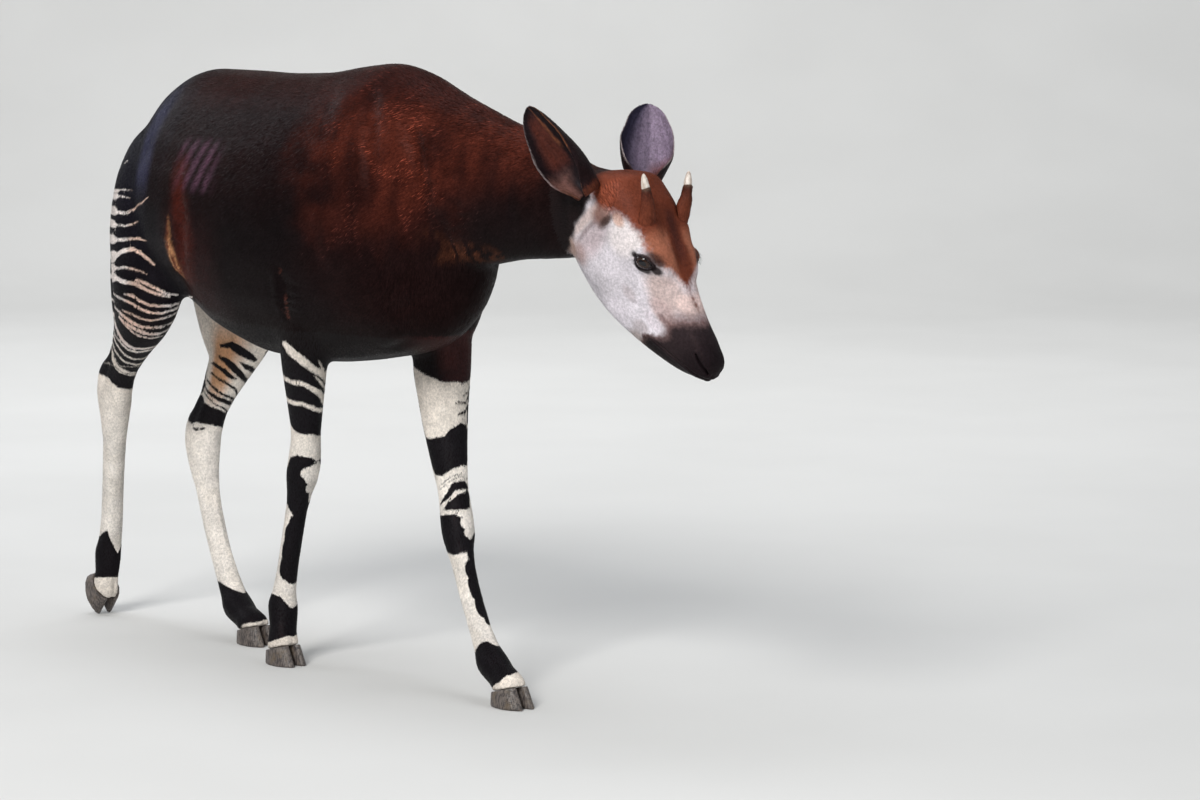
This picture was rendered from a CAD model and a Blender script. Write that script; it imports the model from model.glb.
"""The looks of a still, life-size okapi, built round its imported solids.

It walks with its head lowered. One skin replaces the flesh of the solids, and short hair
lies on it as thin tufts. Skin and hair carry the same markings, which are worked out from
places on the animal. Places are given in the animal's own frame, in metres: x forward
from the sole of the right forefoot, y to its left, z up from the floor.
"""

import logging
import math
from collections.abc import Iterator
from contextlib import contextmanager
from dataclasses import dataclass, field
from enum import Enum

import bmesh
import bpy
import numpy as np
from mathutils import Matrix, Vector
from mathutils.bvhtree import BVHTree


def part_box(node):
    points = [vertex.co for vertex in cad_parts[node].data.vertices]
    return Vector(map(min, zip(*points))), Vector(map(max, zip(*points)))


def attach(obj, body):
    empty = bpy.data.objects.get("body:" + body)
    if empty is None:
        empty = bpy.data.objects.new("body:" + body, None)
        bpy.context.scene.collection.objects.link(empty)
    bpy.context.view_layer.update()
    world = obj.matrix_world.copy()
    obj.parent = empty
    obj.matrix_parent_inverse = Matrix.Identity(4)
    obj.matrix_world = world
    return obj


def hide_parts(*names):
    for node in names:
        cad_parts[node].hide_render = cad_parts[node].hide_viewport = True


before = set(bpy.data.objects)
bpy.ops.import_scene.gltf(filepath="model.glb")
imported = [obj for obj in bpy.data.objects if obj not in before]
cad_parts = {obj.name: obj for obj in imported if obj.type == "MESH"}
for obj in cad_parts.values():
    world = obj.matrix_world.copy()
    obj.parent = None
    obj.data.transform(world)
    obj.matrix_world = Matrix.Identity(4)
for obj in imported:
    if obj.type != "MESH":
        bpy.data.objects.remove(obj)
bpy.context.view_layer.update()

LOG = logging.getLogger("okapi")
BODY = "root"
SEED = 11
FULLY_LIGHT = 0.05
TUFT_POINTS = 5

Points = np.ndarray
Row = tuple[float, ...]

FLESH = (
    "torso", "neck", "head",
    "fore_right_upper", "fore_right_lower", "fore_left_upper", "fore_left_lower",
    "hind_right_upper", "hind_right_lower", "hind_left_upper", "hind_left_lower",
)


class Side(Enum):
    """The animal's two sides, as the sign of y."""

    RIGHT = -1
    LEFT = 1


def ease(values: Points, low: float, high: float) -> Points:
    """A soft step.

    Args:
        values: Any numbers.
        low: Where the step is 0.
        high: Where the step is 1, which may be below low.

    Returns:
        Numbers from 0 to 1.
    """
    t = np.clip((values - low) / (high - low), 0.0, 1.0)
    return t * t * (3.0 - 2.0 * t)


def hump(values: Points, middle: Points | float, width: float) -> Points:
    """A soft hump: 1 at its middle, about a third of that a width away from it."""
    return np.exp(-(((values - middle) / width) ** 2))


def mix(first: Points | Row, second: Points | Row, share: Points) -> Points:
    """Colours part of the way from the first to the second.

    Args:
        first: Colours, one row a point, or one colour.
        second: Colours, one row a point, or one colour.
        share: How much of the second each point has.

    Returns:
        One colour a point.
    """
    first, second = np.asarray(first), np.asarray(second)
    return first + (second - first) * share[:, None]


def grain(points: Points, size: float, seed: int = 0) -> Points:
    """Smooth, seeded lumps.

    Args:
        points: One point a row, in metres.
        size: How far apart the lumps are.
        seed: Which pattern of lumps.

    Returns:
        A number from -1 to 1 for each point.
    """
    cell = points / size
    base = np.floor(cell).astype(np.int64)
    t = cell - base
    t = t * t * (3.0 - 2.0 * t)
    primes = np.array([73856093, 19349663, 83492791], np.int64)
    total = np.zeros(len(points))
    for corner in range(8):
        offset = np.array([(corner >> axis) & 1 for axis in range(3)])
        key = (base + offset) @ primes + seed * 7919
        key = (key ^ (key >> 13)) * 1274126177
        value = ((key ^ (key >> 16)) & 0xFFFF) / 32767.5 - 1.0
        total += value * np.prod(np.where(offset, t, 1.0 - t), axis=1)
    return total


def unit(vectors: Points) -> Points:
    """The same directions, each one long."""
    return vectors / np.maximum(np.linalg.norm(vectors, axis=-1, keepdims=True), 1e-9)


def to_polyline(points: Points, path: Points | tuple[Row, ...]) -> tuple[Points, Points]:
    """How far points lie from a line through places.

    Args:
        points: One point a row.
        path: The places along the line.

    Returns:
        The distance of each point, and how far along the line its nearest place is, from 0 to 1.
    """
    path = np.asarray(path, float)
    near = np.full(len(points), 1e9)
    along = np.zeros(len(points))
    for number, (start, end) in enumerate(zip(path, path[1:])):
        run = end - start
        share = np.clip((points - start) @ run / max(run @ run, 1e-12), 0.0, 1.0)
        gap = np.linalg.norm(points - start - share[:, None] * run, axis=1)
        closer = gap < near
        near = np.where(closer, gap, near)
        along = np.where(closer, (number + share) / (len(path) - 1), along)
    return near, along


def places_of(mesh: bpy.types.Mesh) -> Points:
    """The places of a mesh's vertices, one a row."""
    flat = np.empty(len(mesh.vertices) * 3)
    mesh.vertices.foreach_get("co", flat)
    return flat.reshape(-1, 3)


def normals_of(mesh: bpy.types.Mesh) -> Points:
    """The normals of a mesh's vertices, one a row."""
    flat = np.empty(len(mesh.vertices) * 3)
    mesh.vertex_normals.foreach_get("vector", flat)
    return flat.reshape(-1, 3)


def move_to(mesh: bpy.types.Mesh, points: Points) -> None:
    """Put a mesh's vertices at these places."""
    mesh.vertices.foreach_set("co", np.asarray(points, float).ravel())
    mesh.update()


def only(*items: bpy.types.Object) -> None:
    """Select these objects alone and make the first one active."""
    bpy.ops.object.select_all(action="DESELECT")
    for item in items:
        item.select_set(True)
    bpy.context.view_layer.objects.active = items[0]


def shaped(item: bpy.types.Object, kind: str, **settings: object) -> None:
    """Add a modifier to an object and apply it.

    Args:
        item: The object.
        kind: The modifier's type.
        settings: Values of the modifier's properties.
    """
    only(item)
    modifier = item.modifiers.new(kind.title(), kind)
    for name, value in settings.items():
        setattr(modifier, name, value)
    bpy.ops.object.modifier_apply(modifier=modifier.name)


@contextmanager
def editing(item: bpy.types.Object) -> Iterator[None]:
    """Stay in edit mode with all of an object selected.

    Args:
        item: The object.

    Yields:
        Nothing, while the object is open.
    """
    only(item)
    bpy.ops.object.mode_set(mode="EDIT")
    bpy.ops.mesh.select_all(action="SELECT")
    yield
    bpy.ops.object.mode_set(mode="OBJECT")


def unfold(item: bpy.types.Object, margin: float) -> None:
    """Unwrap an object, with this gap between its patches."""
    with editing(item):
        bpy.ops.uv.smart_project(angle_limit=math.radians(66.0), island_margin=margin)


def weigh(item: bpy.types.Object, name: str, weights: Points) -> None:
    """Give an object a vertex group.

    Args:
        item: The object.
        name: The group's name.
        weights: One weight a vertex, from 0 to 1.
    """
    group = item.vertex_groups.new(name=name)
    steps = np.round(np.clip(weights, 0.0, 1.0) * 20).astype(int)
    for step in np.unique(steps):
        members = np.nonzero(steps == step)[0].tolist()
        group.add(members, step / 20.0, "REPLACE")


def copy_of_nodes(name: str, nodes: tuple[str, ...]) -> bpy.types.Object:
    """One object holding copies of CAD nodes, their doubles merged.

    Args:
        name: The new object's name.
        nodes: The CAD nodes.

    Returns:
        The new object.
    """
    twins = []
    for node in nodes:
        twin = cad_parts[node].copy()
        twin.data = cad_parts[node].data.copy()
        twin.parent = None
        twin.matrix_world = Matrix.Identity(4)
        for key in list(twin.keys()):
            del twin[key]
        bpy.context.scene.collection.objects.link(twin)
        builder = bmesh.new()
        builder.from_mesh(twin.data)
        bmesh.ops.remove_doubles(builder, verts=builder.verts, dist=2e-6)
        builder.to_mesh(twin.data)
        builder.free()
        twins.append(twin)
    only(*twins)
    if len(twins) > 1:
        bpy.ops.object.join()
    made = bpy.context.view_layer.objects.active
    made.name = name
    made.data.name = name
    made.data.materials.clear()
    while made.data.attributes.get("custom_normal"):
        made.data.attributes.remove(made.data.attributes["custom_normal"])
    return made


def mesh_object(name: str, points: Points, faces: Points) -> bpy.types.Object:
    """An object made from arrays of places and of faces with equally many corners.

    Args:
        name: The object's name.
        points: One place a row.
        faces: One face a row.

    Returns:
        The object, linked to the scene.
    """
    mesh = bpy.data.meshes.new(name)
    sides = faces.shape[1]
    mesh.vertices.add(len(points))
    mesh.vertices.foreach_set("co", np.asarray(points, float).ravel())
    mesh.loops.add(faces.size)
    mesh.loops.foreach_set("vertex_index", faces.astype(np.int32).ravel())
    mesh.polygons.add(len(faces))
    mesh.polygons.foreach_set("loop_start", np.arange(0, faces.size, sides, dtype=np.int32))
    mesh.update(calc_edges=True)
    item = bpy.data.objects.new(name, mesh)
    bpy.context.scene.collection.objects.link(item)
    return item


def write_colours(mesh: bpy.types.Mesh, name: str, colours: Points) -> None:
    """Give a mesh a colour attribute, one colour a vertex."""
    attribute = mesh.attributes.new(name, "FLOAT_COLOR", "POINT")
    rows = np.ones((len(mesh.vertices), 4), np.float32)
    rows[:, :3] = colours
    attribute.data.foreach_set("color", rows.ravel())


def write_numbers(mesh: bpy.types.Mesh, name: str, numbers: Points) -> None:
    """Give a mesh an attribute of one number a vertex."""
    attribute = mesh.attributes.new(name, "FLOAT", "POINT")
    attribute.data.foreach_set("value", numbers.astype(np.float32))


def write_coat(mesh: bpy.types.Mesh, dark: Points, shade: Points, light: Points | None = None,
               edge: Points | None = None) -> None:
    """Give a mesh all that the hair's finishes read.

    Args:
        mesh: The mesh.
        dark: The dark coat's colour at each vertex.
        shade: How bright each vertex is.
        light: The light markings' colour at each vertex, or None for the dark coat's.
        edge: How deep each vertex lies in the light markings, or None where all is light.
    """
    write_colours(mesh, "coat_dark", dark)
    write_colours(mesh, "coat_light", dark if light is None else light)
    write_numbers(mesh, "coat_edge", np.full(len(dark), FULLY_LIGHT) if edge is None else edge)
    write_numbers(mesh, "shade", shade)


def per_tuft(values: Points) -> Points:
    """What is known of each tuft, given to each of its vertices."""
    return np.repeat(values, TUFT_POINTS, axis=0)


def ring_faces(rows: int, columns: int, closed: bool) -> Points:
    """The four-sided faces of a grid of vertices.

    Args:
        rows: How many rows the grid has.
        columns: How many vertices a row has.
        closed: Whether each row is a ring.

    Returns:
        One face a row.
    """
    last = columns if closed else columns - 1
    row, column = np.meshgrid(np.arange(rows - 1), np.arange(last), indexing="ij")
    row, column = row.ravel(), column.ravel()
    after = (column + 1) % columns
    return np.stack([row * columns + column, row * columns + after,
                     (row + 1) * columns + after, (row + 1) * columns + column], axis=1)


@dataclass(frozen=True)
class Anatomy:
    """Where the animal's head, eyes and legs are, in its own frame."""

    poll: Row = (1.078, 0.050, 1.277)
    head_pitch: float = 52.0
    head_yaw: float = 9.5
    eye_place: Row = (0.277, 0.072, 0.033)
    eye_radius: float = 0.025
    collar: Row = (1.018, 0.0, 1.2)
    collar_normal: Row = (0.990, 0.0, 0.140)

    def head_axes(self) -> Points:
        """The head's axes as columns: along it to the muzzle, to its left, and up from its brow."""
        yaw = Matrix.Rotation(math.radians(self.head_yaw), 3, "Z")
        pitch = Matrix.Rotation(math.radians(self.head_pitch), 3, "Y")
        return np.array(yaw @ pitch)

    def from_head(self, along: float, left: float, up: float) -> Points:
        """The animal's coordinates of a place given on the head."""
        return np.array(self.poll) + self.head_axes() @ np.array([along, left, up])

    def on_head(self, points: Points) -> Points:
        """The head's coordinates of points: along it, to its left, and up from it."""
        return (points - np.array(self.poll)) @ self.head_axes()

    def shift(self) -> Points:
        """What to add to the animal's coordinates to get the frame's, from the box of the right eye."""
        low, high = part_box("eye_right")
        along, left, up = self.eye_place
        return np.array((low + high) / 2) - self.from_head(along, -left, up)

    def eye_axes(self, side: Side) -> Points:
        """An eye's axes as columns: towards its front corner, up to its brow, and out of the head."""
        out = np.array([0.26, side.value * 0.95, 0.16])
        out /= np.linalg.norm(out)
        fore = np.array([1.0, 0.0, 0.40])
        fore = unit(fore - out * (fore @ out))
        up = np.cross(fore, out) * side.value
        return self.head_axes() @ np.stack([fore, up, out], axis=1)

    def eye_centre(self, side: Side) -> Points:
        """The middle of an eyeball."""
        along, left, up = self.eye_place
        return self.from_head(along, left * side.value, up)

    def beyond_collar(self, points: Points) -> Points:
        """How far points lie on the head's side of the collar, in metres."""
        normal = unit(np.array(self.collar_normal))
        return (points - np.array(self.collar)) @ normal


ALMOND = (0.0235, 0.0128, 0.0112)


def almond_gap(eye: Points) -> Points:
    """How far places lie outside the almond between the lids.

    Args:
        eye: Places in an eye's axes.

    Returns:
        Metres outside it, below zero inside.
    """
    long, above, below = ALMOND
    high = np.where(eye[:, 1] > 0.0, above, below)
    fore, up = np.abs(eye[:, 0]) / long, np.abs(eye[:, 1]) / high
    level = (fore**1.6 + up**1.6) ** (1 / 1.6)
    return (level - 1.0) * (high + (long - high) * np.clip(fore - 0.4, 0.0, 0.6))


def folded(head: Points) -> Points:
    """Places on the head, with those of the right side laid over on the left."""
    return np.stack([head[:, 0], np.abs(head[:, 1]), head[:, 2]], axis=1)


ANATOMY = Anatomy()
SHIFT = ANATOMY.shift()


@dataclass(frozen=True)
class Stroke:
    """A stripe round a leg. Each row is an angle from the front over the outer side, a height and a width."""

    light: bool
    rows: tuple[Row, ...]

    def inside(self, angle: Points, height: Points, radius: Points) -> Points:
        """How deep places lie inside the stripe.

        Args:
            angle: Degrees from the front of the leg over its outer side.
            height: Metres above the floor.
            radius: Metres from the leg's axis.

        Returns:
            Metres inside the stripe's edge, below zero outside it.
        """
        table = np.array(sorted(self.rows))
        start, end = table[0, 0], table[-1, 0]
        middle = (start + end) / 2.0
        turned = angle + 360.0 * np.round((middle - angle) / 360.0)
        centre = np.interp(turned, table[:, 0], table[:, 1])
        width = np.interp(turned, table[:, 0], table[:, 2])
        slope = np.interp(turned, (table[1:, 0] + table[:-1, 0]) / 2.0,
                          np.diff(table[:, 1]) / np.radians(np.diff(table[:, 0])))
        tilt = 1.0 / np.sqrt(1.0 + (slope / np.maximum(radius, 0.02)) ** 2)
        past = np.maximum(np.maximum(start - turned, turned - end), 0.0)
        return width * 0.45 - 0.0004 - np.hypot((height - centre) * tilt, np.radians(past) * radius)


@dataclass(frozen=True)
class Band:
    """A ring round a leg between two edges, each given by rows of an angle and a height."""

    light: bool
    low: tuple[Row, ...]
    high: tuple[Row, ...]

    @staticmethod
    def edge(rows: tuple[Row, ...], angle: Points) -> Points:
        """The height of an edge at these angles, running smoothly round the leg."""
        table = np.array(sorted(rows))
        ends = np.concatenate([table[:, 0] - 360.0, table[:, 0], table[:, 0] + 360.0])
        return np.interp(angle % 360.0, ends, np.tile(table[:, 1], 3))

    def inside(self, angle: Points, height: Points, radius: Points) -> Points:
        """How deep places lie inside the ring, in metres, below zero outside it."""
        del radius
        return np.minimum(height - self.edge(self.low, angle), self.edge(self.high, angle) - height)


def stripe(*rows: Row) -> Stroke:
    """A light stripe."""
    return Stroke(True, rows)


def bar(*rows: Row) -> Stroke:
    """A dark stripe."""
    return Stroke(False, rows)


@dataclass(frozen=True)
class LegMap:
    """The joints of one leg and what is painted on it, in the order of painting."""

    name: str
    side: Side
    joints: tuple[Row, ...]
    marks: tuple[Stroke | Band, ...]

    def around(self, points: Points) -> tuple[Points, Points, Points]:
        """Where points are on the leg.

        Args:
            points: One point a row, in the animal's frame.

        Returns:
            The angle from the front over the outer side in degrees, the height and the distance from the axis.
        """
        joints = np.array(self.joints)
        axis_x = np.interp(points[:, 2], joints[:, 2], joints[:, 0])
        axis_y = np.interp(points[:, 2], joints[:, 2], joints[:, 1])
        out = (points[:, 1] - axis_y) * self.side.value
        fore = points[:, 0] - axis_x
        return np.degrees(np.arctan2(out, fore)) % 360.0, points[:, 2], np.hypot(out, fore)

    def light(self, points: Points) -> Points:
        """How deep points lie in the light markings, in metres, below zero in the dark ones."""
        angle, height, radius = self.around(points)
        value = np.full(len(points), FULLY_LIGHT)
        for mark in self.marks:
            inside = mark.inside(angle, height, radius)
            value = np.maximum(value, inside) if mark.light else np.minimum(value, -inside)
        return value


ALL_ROUND_TOP = ((0.0, 2.0),)

HIND_OUTER = (
    stripe((36, 1.261, .003), (73, 1.249, .006), (112, 1.233, .004)),
    stripe((56, 1.166, .003), (97, 1.165, .005), (150, 1.160, .004)),
    stripe((64, 1.147, .003), (100, 1.149, .006), (160, 1.146, .005)),
    stripe((30, 1.157, .002), (35, 1.139, .004), (52, 1.118, .007), (75, 1.107, .010), (100, 1.108, .010),
           (170, 1.112, .008)),
    stripe((42, 1.089, .003), (56, 1.081, .005), (76, 1.075, .006), (104, 1.075, .007), (165, 1.080, .007)),
    stripe((31, 1.042, .003), (41, 1.047, .007), (68, 1.042, .009), (112, 1.038, .010), (175, 1.038, .009)),
    stripe((22, .983, .005), (28, .996, .009), (38, 1.010, .011), (52, 1.018, .012), (84, 1.012, .014),
           (116, .996, .018), (180, .985, .014)),
    stripe((30, .958, .003), (46, .968, .006), (69, .970, .007), (109, .967, .008), (175, .960, .007)),
    stripe((5, .899, .005), (19, .909, .008), (34, .921, .009), (51, .933, .011), (83, .934, .013),
           (113, .943, .016), (185, .935, .014)),
    stripe((-3, .903, .006), (7, .907, .007), (17, .920, .008), (32, .935, .009), (47, .943, .007)),
    stripe((-8, .880, .007), (12, .876, .008), (23, .879, .008), (34, .887, .008), (49, .902, .008),
           (70, .903, .005)),
    stripe((-12, .872, .007), (11, .858, .008), (23, .859, .008), (34, .869, .008), (48, .883, .007),
           (74, .890, .007), (170, .905, .007)),
    stripe((-12, .860, .005), (9, .844, .006), (19, .837, .006), (30, .842, .006), (41, .852, .006),
           (63, .861, .004)),
    stripe((-12, .838, .006), (7, .821, .008), (17, .817, .008), (29, .821, .009), (47, .839, .009),
           (75, .856, .008), (175, .876, .008)),
    stripe((-12, .820, .006), (7, .802, .007), (18, .800, .008), (30, .809, .008), (49, .827, .008),
           (72, .842, .006)),
    stripe((3, .793, .004), (15, .788, .005), (27, .794, .005), (44, .816, .005), (64, .836, .004)),
    stripe((-10, .766, .006), (16, .757, .007), (28, .757, .008), (43, .771, .010), (65, .797, .011),
           (92, .818, .014), (175, .840, .014)),
    stripe((-10, .755, .005), (23, .747, .006), (35, .752, .006), (56, .773, .006), (103, .797, .006),
           (170, .812, .006)),
    stripe((-15, .745, .005), (5, .725, .006), (22, .724, .006), (39, .736, .006), (61, .758, .006),
           (94, .779, .007), (170, .792, .007)),
    stripe((-20, .712, .005), (14, .707, .006), (36, .715, .006), (59, .733, .006), (102, .759, .009),
           (170, .768, .010)),
    stripe((-20, .674, .010), (15, .679, .013), (47, .692, .018), (95, .724, .026), (140, .742, .030)),
    bar((15, .684, .003), (48, .700, .004), (90, .728, .004)),
    bar((-10, .675, .003), (30, .681, .003), (70, .698, .004)),
    bar((135, .725, .030), (165, .725, .046), (205, .720, .046)),
)

HIND_RIGHT = LegMap(
    "hind_right", Side.RIGHT,
    ((-.934, -.020, .020), (-.909, -.020, .075), (-.886, -.020, .170), (-.740, -.083, .610),
     (-.496, -.153, .922), (-.540, -.120, 1.300)),
    (
        Band(False, ((0, .632), (39, .639), (78, .652), (102, .662), (180, .670), (270, .640), (330, .630)),
             ALL_ROUND_TOP),
        *HIND_OUTER,
        Band(True, ((200, .700), (230, .700), (300, .690), (345, .700)),
             ((200, .701), (230, .930), (270, .960), (310, .930), (345, .701))),
        bar((205, .86, .012), (240, .85, .016), (290, .84, .010)),
        bar((205, .82, .014), (240, .81, .018), (300, .80, .012)),
        bar((205, .78, .014), (250, .77, .020), (320, .76, .014)),
        bar((205, .74, .012), (250, .73, .016), (335, .725, .014)),
        bar((205, .71, .010), (250, .70, .014), (345, .70, .010)),
        Band(False, ((0, .105), (35, .106), (74, .104), (180, .092), (300, .104)),
             ((0, .172), (30, .205), (59, .236), (100, .226), (132, .214), (180, .222), (260, .226), (320, .205))),
    ),
)

HIND_LEFT = LegMap(
    "hind_left", Side.LEFT,
    ((-.277, .029, .012), (-.285, .029, .042), (-.384, .048, .088), (-.624, .117, .483),
     (-.497, .161, .862), (-.540, .120, 1.300)),
    (
        Band(False, ((20, .525), (35, .520), (100, .540), (180, .545), (215, .531), (240, .536), (324, .532)),
             ALL_ROUND_TOP),
        *[Stroke(m.light, tuple((a, h - .060 - .030 * (.9 - h), w) for a, h, w in m.rows)) if isinstance(m, Stroke)
          and max(r[1] for r in m.rows) < .9 else m for m in HIND_OUTER],
        Band(True, ((196, .600), (206, .609), (246, .590), (300, .580), (329, .577), (350, .572), (10, .566),
                    (36, .562), (37, .99), (195, .99)),
             ((196, .760), (230, .920), (290, .950), (330, .900), (350, .800), (10, .740), (30, .700),
              (36, .640), (37, .55), (195, .55))),
        bar((206, .683, .026), (213, .668, .016)),
        bar((204, .628, .030), (216, .640, .026), (222, .636, .010)),
        bar((284, .752, .003), (291, .747, .012), (318, .754, .021), (334, .742, .024), (349, .728, .020),
            (365, .712, .012)),
        bar((286, .722, .003), (294, .718, .010), (317, .709, .018), (335, .694, .019), (350, .679, .017),
            (370, .660, .014), (392, .648, .010)),
        bar((344, .708, .004), (358, .694, .014), (374, .683, .014), (390, .676, .010)),
        bar((248, .698, .003), (262, .698, .010), (290, .693, .013), (317, .682, .013), (339, .666, .012),
            (353, .659, .006)),
        bar((250, .673, .003), (270, .670, .006), (293, .663, .008), (330, .650, .008), (362, .632, .008),
            (390, .612, .007)),
        bar((209, .660, .004), (235, .652, .007), (260, .643, .009), (305, .628, .009), (344, .614, .008),
            (377, .603, .009), (395, .596, .008)),
        bar((214, .636, .004), (254, .620, .009), (293, .612, .012), (339, .601, .012), (384, .588, .013)),
        bar((207, .622, .003), (253, .608, .005), (302, .592, .006), (351, .580, .006), (392, .566, .006)),
        bar((228, .520, .003), (250, .518, .010), (285, .522, .008), (296, .522, .003)),
        Band(False, ((0, .064), (60, .060), (120, .042), (180, .034), (240, .040), (300, .052)),
             ((0, .118), (60, .124), (120, .136), (180, .142), (240, .138), (300, .130))),
    ),
)

FORE_OUTER = (
    stripe((-55, .727, .022), (-40, .732, .022), (19, .755, .018), (51, .777, .024), (84, .798, .028),
           (107, .812, .026), (118, .818, .012)),
    stripe((-60, .745, .018), (-32, .742, .013), (-10, .756, .008), (9, .779, .003)),
    stripe((-62, .706, .016), (-46, .706, .012), (-13, .721, .009), (16, .738, .003)),
    stripe((-66, .672, .036), (-48, .674, .030), (-36, .678, .024), (-20, .690, .018), (20, .706, .014),
           (50, .718, .012), (91, .722, .012), (121, .727, .014), (185, .735, .016)),
    stripe((-70, .648, .012), (-35, .647, .013), (4, .654, .013), (49, .666, .011), (101, .668, .013),
           (137, .674, .015), (190, .684, .016)),
)

FORE_RIGHT = LegMap(
    "fore_right", Side.RIGHT,
    ((.002, -.075, .012), (-.006, -.075, .042), (-.030, -.055, .141), (.053, -.052, .493),
     (.184, -.116, .877), (.300, -.130, 1.120)),
    (
        Band(False, ((14, .587), (67, .590), (118, .600), (144, .611), (200, .615), (250, .585), (307, .580)),
             ALL_ROUND_TOP),
        *FORE_OUTER,
        Band(True, ((200, .900), (205, .612), (250, .615), (290, .625), (300, .900)),
             ((200, .610), (210, .760), (250, .765), (285, .745), (300, .610))),
        Band(False, ((0, .377), (38, .370), (58, .379), (113, .405), (180, .400), (250, .385), (327, .379)),
             ((5, .527), (21, .530), (60, .534), (106, .526), (123, .500), (180, .470), (250, .500),
              (318, .523), (347, .519))),
        stripe((-32, .470, .058), (-22, .478, .072), (-4, .484, .060), (18, .484, .046), (30, .488, .022)),
        stripe((-30, .436, .030), (-18, .446, .040), (-4, .452, .030)),
        bar((-42, .362, .050), (-24, .362, .058), (0, .362, .058), (22, .362, .054), (36, .362, .040)),
        bar((-30, .330, .080), (-8, .330, .080), (12, .330, .080), (24, .330, .080)),
        bar((-32, .290, .090), (-12, .290, .090), (8, .290, .090), (19, .290, .090)),
        bar((-30, .245, .084), (-14, .245, .084), (8, .245, .084), (21, .245, .084)),
        bar((-22, .214, .034), (-6, .212, .034), (12, .214, .030)),
        Band(False, ((22, .073), (65, .064), (91, .057), (180, .050), (270, .060), (319, .071), (355, .071)),
             ((355, .139), (10, .141), (27, .152), (58, .168), (112, .172), (180, .176), (250, .170), (321, .144))),
    ),
)

FORE_LEFT = LegMap(
    "fore_left", Side.LEFT,
    ((.796, .015, .012), (.788, .015, .042), (.706, .027, .098), (.487, .096, .378),
     (.402, .129, .778), (.401, .133, 1.120)),
    (
        Band(False, ((0, .532), (47, .530), (120, .560), (180, .545), (214, .519), (223, .506), (259, .506),
                     (305, .522)),
             ALL_ROUND_TOP),
        *[Stroke(True, tuple((max(a, 50.0), h - .045, w) for a, h, w in m.rows if a > 45)) for m in
          (FORE_OUTER[0], FORE_OUTER[3], FORE_OUTER[4])],
        Band(True, ((212, .592), (292, .602), (320, .620), (1, .632), (46, .634), (50, .90), (205, .90)),
             ((217, .765), (257, .749), (307, .734), (339, .733), (23, .730), (44, .735), (50, .60), (205, .60))),
        bar((10, .697, .003), (18, .700, .006), (41, .709, .009), (60, .716, .007)),
        bar((345, .682, .003), (349, .682, .006), (388, .682, .008), (408, .697, .010), (425, .700, .008)),
        bar((352, .655, .003), (360, .655, .008), (386, .657, .012), (402, .669, .012), (425, .672, .009)),
        stripe((10, .634, .003), (28, .630, .006), (46, .630, .006)),
        bar((239, .481, .002), (309, .507, .003), (368, .512, .003), (406, .498, .002)),
        bar((241, .473, .002), (302, .496, .003), (353, .507, .003), (404, .496, .002)),
        bar((234, .435, .004), (258, .448, .010), (285, .461, .015), (318, .482, .020), (356, .486, .024),
            (380, .484, .022), (398, .480, .014)),
        bar((266, .428, .003), (285, .436, .018), (309, .440, .028), (344, .448, .042), (366, .448, .044),
            (386, .452, .040), (396, .458, .020)),
        Band(False, ((24, .335), (90, .330), (180, .325), (242, .322), (310, .329)),
             ((0, .409), (45, .400), (120, .440), (180, .430), (229, .411), (312, .419), (345, .410))),
        stripe((348, .398, .026), (362, .394, .040), (380, .392, .050), (397, .398, .050)),
        stripe((354, .376, .020), (368, .370, .026), (384, .378, .020)),
        bar((23, .328, .030), (50, .322, .050), (88, .318, .050), (95, .318, .030)),
        bar((36, .290, .060), (60, .290, .060), (86, .290, .060)),
        bar((40, .250, .070), (62, .250, .070), (84, .250, .070)),
        bar((38, .210, .060), (58, .210, .060), (80, .210, .060)),
        bar((30, .182, .024), (50, .184, .030), (74, .190, .030)),
        Band(False, ((355, .081), (30, .080), (90, .066), (150, .050), (190, .044), (232, .043), (310, .060),
                     (337, .076)),
             ((351, .133), (14, .129), (60, .130), (120, .122), (180, .112), (222, .112), (284, .135),
              (324, .142))),
    ),
)

LEG_MAPS = (FORE_RIGHT, FORE_LEFT, HIND_RIGHT, HIND_LEFT)
LEG_TOP = 0.86


def nearest_leg(points: Points) -> Points:
    """The number of the leg whose axis is nearest to each of the animal's places, -1 above the legs."""
    radii = np.stack([leg.around(points)[2] for leg in LEG_MAPS])
    return np.where(points[:, 2] < LEG_TOP, np.argmin(radii, axis=0), -1)


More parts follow.
